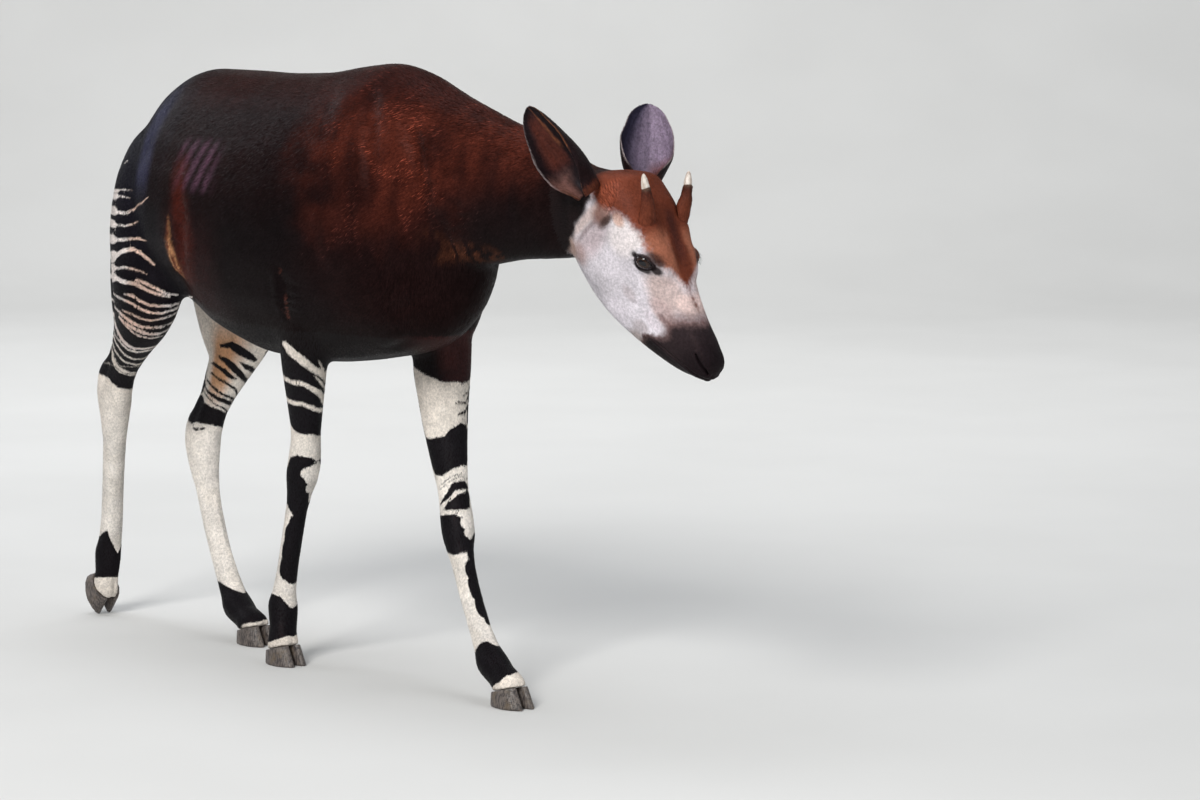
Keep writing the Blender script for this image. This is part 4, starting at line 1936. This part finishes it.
@dataclass
class Ear:
    """One large, open, rolled ear with its ridges, rim and hair."""

    side: Side
    reach: Row
    facing: Row
    length: float = 0.236
    spread: float = 0.200
    wall: float = 0.0034
    rows: int = 64
    columns: int = 44
    outline: tuple[Row, ...] = (
        (0.00, 0.72, 155.0), (0.12, 0.88, 130.0), (0.28, 1.00, 104.0), (0.42, 0.97, 91.0), (0.65, 0.75, 75.0),
        (0.80, 0.56, 66.0), (0.91, 0.36, 56.0), (0.98, 0.15, 46.0), (1.00, 0.05, 40.0),
    )

    @property
    def name(self) -> str:
        """The name of the ear's CAD node."""
        return f"ear_{self.side.name.lower()}"

    def base(self) -> Points:
        """The middle of the ear's root."""
        return ANATOMY.from_head(0.070, 0.094 * self.side.value, 0.006)

    def axes(self) -> Points:
        """The ear's axes as rows: along it, out of its opening and across it."""
        axis = unit(np.array(self.reach))
        facing = np.array(self.facing)
        out = unit(facing - axis * (facing @ axis))
        return np.stack([axis, out, np.cross(axis, out)])

    def leaf(self) -> tuple[Points, Points, Points]:
        """The ear's two walls as closed rings.

        Returns:
            The places row by row, and each place's height and share across, from -1 to 1. Inner places come first.
        """
        axis, out, across = self.axes()
        height = np.linspace(0.0, 1.0, self.rows) ** 0.94
        table = np.array(self.outline)
        spread, roll = eased_rows(tuple(table[:, 0]), tuple(map(tuple, table[:, 1:])), height).T
        spread = np.maximum(spread, 0.03)
        half = np.radians(roll)
        radius = self.spread * spread / (2 * half)
        share = np.linspace(-1.0, 1.0, self.columns)
        angle = half[:, None] * share[None, :]
        base = self.base() + SHIFT
        centre = base + axis * (self.length * height)[:, None] + out * (radius * (1 + np.cos(half)) * 0.5)[:, None]
        round_out = across * np.sin(angle)[:, :, None] - out * np.cos(angle)[:, :, None]
        middle = centre[:, None] + round_out * radius[:, None, None]
        edge = 1.0 - np.abs(share)[None, :]
        thin = self.wall * (0.30 + 0.70 * ease(edge, 0.0, 0.16)) * (1.0 - 0.45 * height[:, None])
        root = ease(height, 0.16, 0.0)[:, None]
        thin = thin + 0.006 * root * ease(edge, 0.0, 0.3)
        bell = np.sin(np.pi * np.clip(height, 0.0, 1.0))[:, None] ** 0.7
        ridges = np.zeros_like(angle)
        for place, tall in ((-0.62, 0.0016), (-0.30, 0.0020), (0.02, 0.0016), (0.36, 0.0019), (0.66, 0.0014)):
            ridges = ridges + tall * hump(share[None, :] - place - 0.05 * np.sin(5 * height)[:, None], 0.0, 0.055)
        ridges = ridges * bell
        crinkle = 0.0012 * np.sin(height[:, None] * 19.0 + share[None, :] * 5.0) * ease(1.0 - edge, 0.55, 1.0)
        inner = middle - round_out * (thin / 2.0 + ridges + crinkle)[:, :, None]
        outer = middle + round_out * (thin / 2.0 - crinkle)[:, :, None]
        places = np.concatenate([inner, outer[:, ::-1]], axis=1)
        heights = np.repeat(height[:, None], 2 * self.columns, axis=1)
        shares = np.repeat(np.concatenate([share, share[::-1]])[None, :], self.rows, axis=0)
        return places, heights, shares

    def colours(self, height: Points, share: Points, inside: Points, places: Points) -> Points:
        """The colour of each place on the ear."""
        lumps = grain(places, 0.016, 61) * 0.5 + grain(places, 0.005, 62) * 0.5
        across = np.abs(share)
        back = mix((0.0130, 0.0055, 0.0060), (0.0200, 0.0095, 0.0100), ease(height, 0.5, 0.95))
        back = mix(back, (0.100, 0.027, 0.014), ease(height + lumps * 0.04, 0.10, 0.01))
        shares = share + lumps * 0.05
        if self.side is Side.RIGHT:
            maroon = ease(shares, -0.84, -0.56) * ease(shares, -0.10, -0.26)
            front = mix((0.0150, 0.0080, 0.0095), (0.088, 0.022, 0.014),
                        maroon * ease(height, 0.98, 0.78) * ease(height, 0.26, 0.42))
            front = mix(front, (0.26, 0.088, 0.040),
                        hump(shares, -0.14, 0.045) * ease(height, 0.46, 0.58) * 0.8)
            front = mix(front, (0.26, 0.125, 0.105), ease(height + lumps * 0.05, 0.34, 0.16)
                        * ease(shares, -0.25, -0.55) * 0.8)
        else:
            front = mix((0.026, 0.023, 0.045), (0.240, 0.185, 0.260), ease(shares, -0.70, 0.30))
            front = mix(front, (0.105, 0.082, 0.120), hump(shares, 0.02, 0.10) * 0.6)
            low = ease(height + lumps * 0.06, 0.46, 0.26) * ease(shares, 0.0, 0.3)
            front = mix(front, (0.120, 0.030, 0.020), low * 0.9)
        canal = ease(height, 0.34, 0.12) * ease(across, 0.75, 0.40)
        front = mix(front, (0.008, 0.005, 0.006), canal)
        front = mix(front, (0.20, 0.09, 0.06), ease(height, 0.20, 0.04) * ease(across, 0.7, 0.95))
        colour = mix(back, front, inside)
        rim = ease(across + lumps * 0.012, 0.955, 0.990) * ease(height, 0.12, 0.25)
        pale = np.tile((0.36, 0.30, 0.30), (len(rim), 1))
        if self.side is Side.RIGHT:
            fore = ease(share, -0.1, 0.1)
            pale = mix(pale, (0.34, 0.125, 0.055), fore)
            rim = rim * (0.7 - 0.7 * fore * ease(height, 0.55, 0.40))
        return mix(colour, pale, rim * 0.8)

    def build(self) -> list[bpy.types.Object]:
        """Make the ear and its hair.

        Returns:
            The ear and the piece of hair on it.
        """
        places, heights, shares = self.leaf()
        flat = places.reshape(-1, 3)
        item = mesh_object(f"{self.name}_leaf", flat, ring_faces(self.rows, 2 * self.columns, True))
        close_up(item)
        inside = np.zeros((self.rows, 2 * self.columns))
        inside[:, :self.columns] = 1.0
        inside = inside.ravel()
        colour = self.colours(heights.ravel(), shares.ravel(), inside, flat)
        write_coat(item.data, colour, np.ones(len(flat)))
        unfold(item, 0.002)
        item.data.shade_smooth()
        item.data.materials.append(material_of(EAR_COAT))
        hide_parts(self.name)
        hair = self.hair(item, heights.ravel(), np.abs(shares.ravel()), inside, colour)
        for piece in (item, hair):
            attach(piece, BODY)
        return [item, hair]

    def hair(self, item: bpy.types.Object, heights: Points, across: Points, inside: Points,
             colour: Points) -> bpy.types.Object:
        """Short hair behind the ear, long hair at its root and a fringe inside its rim.

        Args:
            item: The ear.
            heights: How far along the ear each vertex is.
            across: How far from its middle each vertex is, up to 1.
            inside: 1 where a vertex is on the inner wall.
            colour: The vertices' colours.

        Returns:
            The hair.
        """
        pelt = Pelt(item)
        corners = pelt.corners
        within = inside[corners].mean(axis=1)
        up = heights[corners].mean(axis=1)
        aside = across[corners].mean(axis=1)
        density = np.where(within > 0.5, 80000.0 + 190000.0 * ease(aside, 0.60, 0.95), 270000.0)
        roots = pelt.sow(density, SEED + 300 + self.side.value)
        own = roots.triangles
        axis = self.axes()[0]
        outwards = unit(pelt.centres[own] - (self.base() + SHIFT))
        flow = axis[None] + outwards * 0.2
        long = np.where(within[own] > 0.5, 0.0060 + 0.0075 * ease(aside[own], 0.6, 0.95),
                        0.0060 + 0.006 * ease(up[own], 0.25, 0.02))
        long = long * (1.0 - 0.45 * ease(up[own], 0.7, 1.0))
        lift = np.where(within[own] > 0.5, 0.0016, 0.0008)
        wide = np.where(within[own] > 0.5, 0.00075, 0.0011)
        piece = pelt.lay(f"{self.name}_hair", roots, flow, Strand(long, wide, lift), SEED + 320 + self.side.value)
        shade = np.random.default_rng(SEED + 340).uniform(0.65, 1.35, len(own))
        tint = colour[corners[own]].mean(axis=1)
        write_coat(piece.data, per_tuft(tint), per_tuft(shade) * np.tile([0.8, 0.8, 1.0, 1.0, 1.2], len(own)))
        piece.data.materials.append(material_of(EAR_COAT))
        return piece


@dataclass
class Eye:
    """One eyeball with its cornea, the wet rim of its lids and its lashes."""

    side: Side
    skin: Skin
    rings: int = 48
    sides: int = 64
    cornea: float = 0.0012
    iris: float = 0.0165
    lashes: int = 90

    @property
    def name(self) -> str:
        """The name of the eye's CAD node."""
        return f"eye_{self.side.name.lower()}"

    def ball(self) -> bpy.types.Object:
        """The eyeball, its cornea standing a little proud, with its iris drawn in an attribute."""
        axes, centre = ANATOMY.eye_axes(self.side), ANATOMY.eye_centre(self.side) + SHIFT
        bpy.ops.object.select_all(action="DESELECT")
        bpy.ops.mesh.primitive_uv_sphere_add(segments=self.sides, ring_count=self.rings,
                                             radius=ANATOMY.eye_radius - 0.0002)
        item = bpy.context.active_object
        item.name = self.name + "_ball"
        item.data.name = item.name
        eye = places_of(item.data)
        flat = np.hypot(eye[:, 0], eye[:, 1])
        front = eye[:, 2] > 0.0
        dome = ease(flat, self.iris * 1.05, self.iris * 0.3) * front
        item_places = unit(eye) * (ANATOMY.eye_radius - 0.0002 + self.cornea * dome)[:, None]
        pupil = np.hypot(eye[:, 0] / 0.0105, eye[:, 1] / 0.0058)
        ring = np.where(pupil < 1.0, pupil * 0.3, 0.4 + 0.6 * (flat / self.iris))
        ring = np.where(front, ring, 1.2)
        move_to(item.data, item_places @ axes.T + centre)
        with editing(item):
            bpy.ops.mesh.normals_make_consistent(inside=False)
        write_numbers(item.data, "iris", ring)
        item.data.shade_smooth()
        item.data.materials.append(material_of(EyeFinish()))
        return item

    def almond(self, out: float, rise: float, count: int) -> Points:
        """Places round the opening of the lids.

        Args:
            out: How far outside the opening, in metres.
            rise: How far from the middle of the eyeball.
            count: How many places.

        Returns:
            The places, in the frame's coordinates.
        """
        long, above, below = ALMOND
        turn = np.linspace(0.0, 2 * math.pi, count, endpoint=False)
        fore = np.sign(np.cos(turn)) * np.abs(np.cos(turn)) ** (2 / 1.6) * (long + out)
        high = np.where(np.sin(turn) > 0.0, above, below) + out
        up = np.sign(np.sin(turn)) * np.abs(np.sin(turn)) ** (2 / 1.6) * high
        deep = np.sqrt(np.maximum(rise**2 - fore**2 - up**2, 1e-6))
        eye = np.stack([fore, up, deep], axis=1)
        return eye @ ANATOMY.eye_axes(self.side).T + ANATOMY.eye_centre(self.side) + SHIFT

    def rim(self) -> bpy.types.Object:
        """The bare, wet margin of the lids, a thin roll round the opening."""
        count = 72
        radius = ANATOMY.eye_radius
        middle = self.almond(-0.0004, radius + 0.0007, count)
        centre = ANATOMY.eye_centre(self.side) + SHIFT
        outwards = unit(middle - centre)
        run = unit(np.roll(middle, -1, axis=0) - np.roll(middle, 1, axis=0))
        aside = np.cross(run, outwards)
        turn = np.linspace(0.0, 2 * math.pi, 8, endpoint=False)
        thick = 0.00115
        ring = outwards[:, None] * np.cos(turn)[None, :, None] + aside[:, None] * np.sin(turn)[None, :, None]
        points = (middle[:, None] + ring * thick).reshape(-1, 3)
        faces = ring_faces(count, 8, True)
        last = (count - 1) * 8
        column = np.arange(8)
        wrap = np.stack([last + column, last + (column + 1) % 8, (column + 1) % 8, column], axis=1)
        item = mesh_object(self.name + "_lid_rim", points, np.concatenate([faces, wrap]))
        close_up(item)
        item.data.shade_smooth()
        item.data.materials.append(material_of(WetSkinFinish()))
        return item

    def lash_piece(self) -> bpy.types.Object:
        """The lashes of both lids, long above and short below."""
        draw = np.random.default_rng(SEED + 400 + self.side.value)
        around = self.almond(0.0010, ANATOMY.eye_radius + self.skin.lid_margin + 0.0002, 720)
        axes = ANATOMY.eye_axes(self.side)
        turn = draw.uniform(0.06, 0.94, self.lashes) * math.pi
        lower = draw.random(self.lashes) < 0.30
        turn = np.where(lower, -turn, turn)
        root = around[(turn / (2 * math.pi) * 720).astype(int) % 720]
        fore, up, out = axes.T
        long = np.where(lower, 0.0045, 0.0095) * draw.uniform(0.7, 1.2, self.lashes)
        spread = np.cos(turn) * 0.7 + draw.normal(0.0, 0.12, self.lashes)
        droop = np.where(lower, -0.55, -0.10) + draw.normal(0.0, 0.08, self.lashes)
        aim = unit(out[None] + fore[None] * spread[:, None] + up[None] * droop[:, None])
        curl = np.where(lower, -0.35, -0.25)
        steps = np.array([0.0, 0.4, 0.75, 1.0])
        middle = (root[:, None] + aim[:, None] * (long[:, None] * steps)[:, :, None]
                  + up[None, None] * (curl[:, None] * long[:, None] * steps**2)[:, :, None])
        side = unit(np.cross(aim, up))
        width = np.array([0.00032, 0.00028, 0.00018, 0.00003])
        offset = side[:, None] * width[None, :, None]
        points = np.stack([middle - offset, middle + offset], axis=2).reshape(-1, 3)
        start = np.arange(self.lashes)[:, None] * 8
        faces = np.concatenate([start + 2 * step + np.array([0, 1, 3, 2]) for step in range(3)], axis=1)
        item = mesh_object(self.name + "_lashes", points, faces.reshape(-1, 4))
        black = np.tile((0.008, 0.006, 0.007), (len(points), 1))
        write_coat(item.data, black, np.ones(len(points)))
        item.data.materials.append(material_of(GLOSSY_COAT))
        return item

    def build(self) -> list[bpy.types.Object]:
        """Make the eye.

        Returns:
            Its pieces.
        """
        ball, rim, lashes = self.ball(), self.rim(), self.lash_piece()
        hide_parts(self.name)
        for piece, slot in ((ball, "eye"), (rim, "coat_face"), (lashes, "coat_dark")):
            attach(piece, BODY)
        return [ball, rim, lashes]


@dataclass
class Ossicone:
    """One short horn: skin and hair to near its tip, and bare worn bone above."""

    side: Side
    bone: float = 0.034
    skin_voxel: float = 0.0016

    @property
    def name(self) -> str:
        """The name of the horn's CAD node."""
        return f"ossicone_{self.side.name.lower()}"

    def build(self) -> list[bpy.types.Object]:
        """Make the horn, its hair and its bare tip.

        Returns:
            Its pieces.
        """
        root, tip = (place + SHIFT for place in horn_axis(self.side))
        run = unit(tip - root)
        horn = self.refined(self.name, f"{self.name}_skin", 0.6)
        along = (places_of(horn.data) - root) @ run
        move_to(horn.data, self.tapered(places_of(horn.data), root, tip))
        bump = grain(places_of(horn.data), 0.010, 71) * 0.0009
        collar = hump(along, np.linalg.norm(tip - root) - self.bone, 0.004) * 0.0012
        move_to(horn.data, places_of(horn.data) + normals_of(horn.data) * (bump + collar - 0.0008)[:, None])
        end = self.refined(f"{self.name}_tip", f"{self.name}_bone", 0.3)
        places = self.tapered(places_of(end.data), root, tip)
        move_to(end.data, places)
        along = (places - root) @ run
        rings = np.sin(along * 900.0) * 0.00018 + grain(places * np.array([1, 1, 0.3]), 0.004, 72) * 0.0004
        move_to(end.data, places + normals_of(end.data) * rings[:, None])
        end.data.materials.append(material_of(BoneFinish()))
        tone = self.tones(places_of(horn.data), root, run, tip)
        write_coat(horn.data, tone, np.ones(len(tone)))
        horn.data.materials.append(material_of(FACE_COAT))
        pelt = Pelt(horn)
        roots = pelt.sow(np.full(len(pelt.areas), 420000.0), SEED + 500 + self.side.value)
        count = len(roots.places)
        high = ease((roots.places - root) @ run, 0.03, np.linalg.norm(tip - root) - self.bone)
        strand = Strand(0.0075 - 0.002 * high, np.full(count, 0.0011), np.full(count, 0.0012))
        hair = pelt.lay(f"{self.name}_hair", roots, np.tile(run, (count, 1)), strand, SEED + 520)
        tint = self.tones(roots.places, root, run, tip)
        shade = np.random.default_rng(SEED + 540).uniform(0.7, 1.3, count)
        write_coat(hair.data, per_tuft(tint), per_tuft(shade))
        hair.data.materials.append(material_of(FACE_COAT))
        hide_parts(self.name)
        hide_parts(f"{self.name}_tip")
        for piece, slot in ((horn, "ossicone_skin"), (hair, "ossicone_skin"), (end, "ossicone_bone")):
            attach(piece, BODY)
        return [horn, hair, end]

    @staticmethod
    def tapered(places: Points, root: Points, tip: Points) -> Points:
        """The horn's places, made wider at its root and narrower at its tip."""
        run = unit(tip - root)
        along = (places - root) @ run
        centre = root + along[:, None] * run
        share = along / np.linalg.norm(tip - root)
        return centre + (places - centre) * np.interp(share, (0.0, 0.35, 0.65, 1.0), (0.98, 0.96, 0.82, 0.60))[:, None]

    @staticmethod
    def tones(places: Points, root: Points, run: Points, tip: Points) -> Points:
        """The colour of the horn's skin: red-brown, darker towards the bare tip."""
        share = ((places - root) @ run) / np.linalg.norm(tip - root)
        colour = mix((0.160, 0.040, 0.020), (0.085, 0.024, 0.015), ease(share, 0.25, 0.7))
        return mix(colour, (0.13, 0.075, 0.055), ease(share, 0.62, 0.72))

    def refined(self, node: str, name: str, strength: float) -> bpy.types.Object:
        """A copy of a CAD node with finer, rounder faces.

        Args:
            node: The CAD node.
            name: The new object's name.
            strength: How strongly it is smoothed.

        Returns:
            The copy.
        """
        item = copy_of_nodes(name, (node,))
        shaped(item, "REMESH", mode="VOXEL", voxel_size=self.skin_voxel, use_smooth_shade=True)
        shaped(item, "SMOOTH", factor=strength, iterations=8)
        item.data.shade_smooth()
        return item


@dataclass
class Claw:
    """One half of a hoof: its horn wall with growth rings, a soft coronet and a flat sole."""

    leg: LegMap
    part: str
    voxel: float = 0.0018
    ring_gap: float = 0.0042

    def build(self) -> bpy.types.Object:
        """Make the claw.

        Returns:
            The finished piece.
        """
        node = f"{self.leg.name}_claw_{self.part}"
        item = copy_of_nodes(f"{self.leg.name}_hoof_{self.part}", (node,))
        low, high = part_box(node)
        shaped(item, "REMESH", mode="VOXEL", voxel_size=self.voxel, use_smooth_shade=True)
        shaped(item, "SMOOTH", factor=0.5, iterations=6)
        places, normals = places_of(item.data), normals_of(item.data)
        rise = places[:, 2] - low[2]
        slope = rise + 0.22 * (places[:, 0] - low[0])
        wall = ease(np.abs(normals[:, 2]), 0.75, 0.5)
        rings = np.sin(slope / self.ring_gap * 2 * math.pi + grain(places, 0.02, 81)) * 0.00030
        rings = rings + grain(places * np.array([1.0, 1.0, 0.2]), 0.0035, 82) * 0.00030
        places = places + normals * (rings * wall - 0.0002)[:, None]
        places[:, 2] = np.clip(places[:, 2], low[2], high[2])
        move_to(item.data, places)
        item.data.shade_smooth()
        item.data.materials.append(material_of(HornFinish()))
        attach(item, BODY)
        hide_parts(node)
        return item


@dataclass
class TailTuft:
    """The long hair at the tail's end, as fine tapered locks."""

    locks: int = 620
    top: float = 1.075
    bottom: float = 0.868

    def build(self) -> bpy.types.Object:
        """Make the tuft.

        Returns:
            The finished piece.
        """
        draw = np.random.default_rng(SEED + 600)
        low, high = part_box("tail")
        count = self.locks
        start = draw.uniform(0.985, self.top, count)
        turn = draw.uniform(0.0, 2 * math.pi, count)
        path = np.array(Skin.tail_path)
        order = np.argsort(path[:, 2])
        stem = np.stack([np.interp(start, path[order, 2], path[order, 0]), np.zeros(count), start], axis=1)
        out = np.stack([np.cos(turn), np.sin(turn), np.zeros(count)], axis=1)
        long = (start - self.bottom - 0.012) * draw.uniform(0.62, 1.0, count)
        spread = draw.uniform(0.006, 0.020, count)
        steps = np.linspace(0.0, 1.0, 6)
        fall = stem[:, None] + out[:, None] * (0.010 + spread[:, None] * np.sin(steps * 2.5))[:, :, None]
        fall[:, :, 2] -= long[:, None] * steps
        fall[:, :, 0] += 0.006 * np.sin(steps * 3.0 + turn[:, None])
        side = np.cross(out, np.array([0.0, 0.0, 1.0]))
        width = np.array([0.0012, 0.0019, 0.0019, 0.0015, 0.0009, 0.0001])
        offset = side[:, None] * width[None, :, None]
        ridge = fall + out[:, None] * (width * 0.6)[None, :, None]
        points = np.stack([fall - offset, ridge, fall + offset], axis=2).reshape(-1, 3) + SHIFT
        inset = 0.0005
        points = np.clip(points, np.array(low) + inset, np.array(high) - inset)
        corner = np.arange(count)[:, None] * 18
        cells = [corner + 3 * step + np.array([0, 1, 4, 3]) for step in range(5)]
        cells += [corner + 3 * step + np.array([1, 2, 5, 4]) for step in range(5)]
        item = mesh_object("tail_tuft", points, np.concatenate(cells, axis=1).reshape(-1, 4))
        shade = np.repeat(draw.uniform(0.6, 1.4, count), 18)
        tone = mix((0.010, 0.0075, 0.009), (0.050, 0.020, 0.014), np.repeat(ease(start, 1.03, 1.07), 18))
        write_coat(item.data, tone, shade)
        item.data.shade_smooth()
        item.data.materials.append(material_of(GLOSSY_COAT))
        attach(item, BODY)
        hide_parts("tail")
        return item


@dataclass
class Studio:
    """The camera, the lights and the floor."""

    eye: Row = (7.493, -5.336, 1.700)
    forward: Row = (-0.761, 0.639, -0.113)
    right: Row = (0.643, 0.766, 0.0)
    lens: float = 111.0

    def camera(self) -> None:
        """Place the camera where the photograph's was."""
        data = bpy.data.cameras.new("camera")
        data.lens = self.lens
        data.sensor_width = 36.0
        data.clip_end = 200.0
        item = bpy.data.objects.new("camera", data)
        bpy.context.scene.collection.objects.link(item)
        forward = Vector(self.forward).normalized()
        right = Vector(self.right).normalized()
        up = right.cross(forward)
        turn = Matrix((right, up, -forward)).transposed().to_4x4()
        item.matrix_world = Matrix.Translation(Vector(self.eye) + Vector(SHIFT)) @ turn
        bpy.context.scene.camera = item

    def light(self, name: str, place: Row, size: Row, power: float, colour: Row = (1.0, 1.0, 1.0),
              aim: Row = (0.1, 0.0, 0.95)) -> None:
        """Add a soft lamp that faces the animal.

        Args:
            name: The lamp's name.
            place: Where it stands.
            size: Its width and height.
            power: Its watts.
            colour: Its colour.
            aim: The place it faces.
        """
        data = bpy.data.lights.new(name, "AREA")
        data.shape = "RECTANGLE"
        data.size, data.size_y = size
        data.energy = power
        data.color = colour
        item = bpy.data.objects.new(name, data)
        bpy.context.scene.collection.objects.link(item)
        item.location = place
        item.rotation_euler = (Vector(aim) - Vector(place)).to_track_quat("-Z", "Y").to_euler()

    def floor(self) -> None:
        """The pale floor, which curves up into a backdrop far behind the animal."""
        turn = np.linspace(0.0, math.pi / 2, 24)
        run = np.concatenate([[-16.0, 0.0, 9.0], 10.0 + 5.0 * np.sin(turn), [15.0]])
        rise = np.concatenate([[0.0, 0.0, 0.0], 5.0 - 5.0 * np.cos(turn), [16.0]]) - 0.0006
        away, across = unit(np.array([*self.forward[:2], 0.0])), unit(np.array(self.right))
        rows = away * run[:, None] + np.array([0.0, 0.0, 1.0]) * rise[:, None]
        points = rows[:, None] + across * np.linspace(-18.0, 18.0, 9)[None, :, None]
        item = mesh_object("floor", points.reshape(-1, 3), ring_faces(len(run), 9, False)[:, ::-1])
        item.data.shade_smooth()
        item.data.materials.append(material_of(FloorFinish()))

    def build(self) -> None:
        """Set up the studio."""
        self.camera()
        self.light("key", (4.2, -8.9, 8.5), (4.5, 4.0), 1250.0, (1.0, 0.985, 0.96))
        self.light("fill", (9.0, 2.5, 4.5), (5.0, 4.0), 130.0, (0.93, 0.96, 1.0))
        self.light("top", (-0.8, 1.0, 10.0), (6.0, 4.0), 260.0, (0.94, 0.96, 1.0))
        self.light("rim", (-9.0, -2.0, 6.0), (4.0, 4.0), 150.0, (0.90, 0.94, 1.0))
        self.light("backdrop", (-4.0, 3.0, 8.0), (9.0, 3.0), 520.0, aim=(-10.5, 8.8, 2.0))
        world = bpy.data.worlds.new("pale_room")
        bpy.context.scene.world = world
        world.use_nodes = True
        background = world.node_tree.nodes["Background"]
        background.inputs[0].default_value = (0.86, 0.88, 0.90, 1.0)
        background.inputs[1].default_value = 0.38
        self.floor()
        bpy.context.scene.view_settings.view_transform = "Standard"


def main() -> None:
    """Build the okapi and its studio."""
    logging.basicConfig(level=logging.INFO, format="%(message)s")
    Studio().build()
    skin = Skin()
    pieces = [skin.build(), *Coat(skin).build()]
    pieces += Ear(Side.RIGHT, (-0.074, -0.104, 0.180), (-0.03, -1.00, 0.05)).build()
    pieces += Ear(Side.LEFT, (-0.100, 0.104, 0.192), (0.76, -0.50, 0.30)).build()
    for side in Side:
        pieces += Eye(side, skin).build() + Ossicone(side).build()
    pieces += [Claw(leg, part).build() for leg in LEG_MAPS for part in ("inner", "outer")]
    pieces.append(TailTuft().build())
    for piece in pieces:
        LOG.info("%s: %d faces", piece.name, len(piece.data.polygons))


if __name__ == "__main__":
    main()
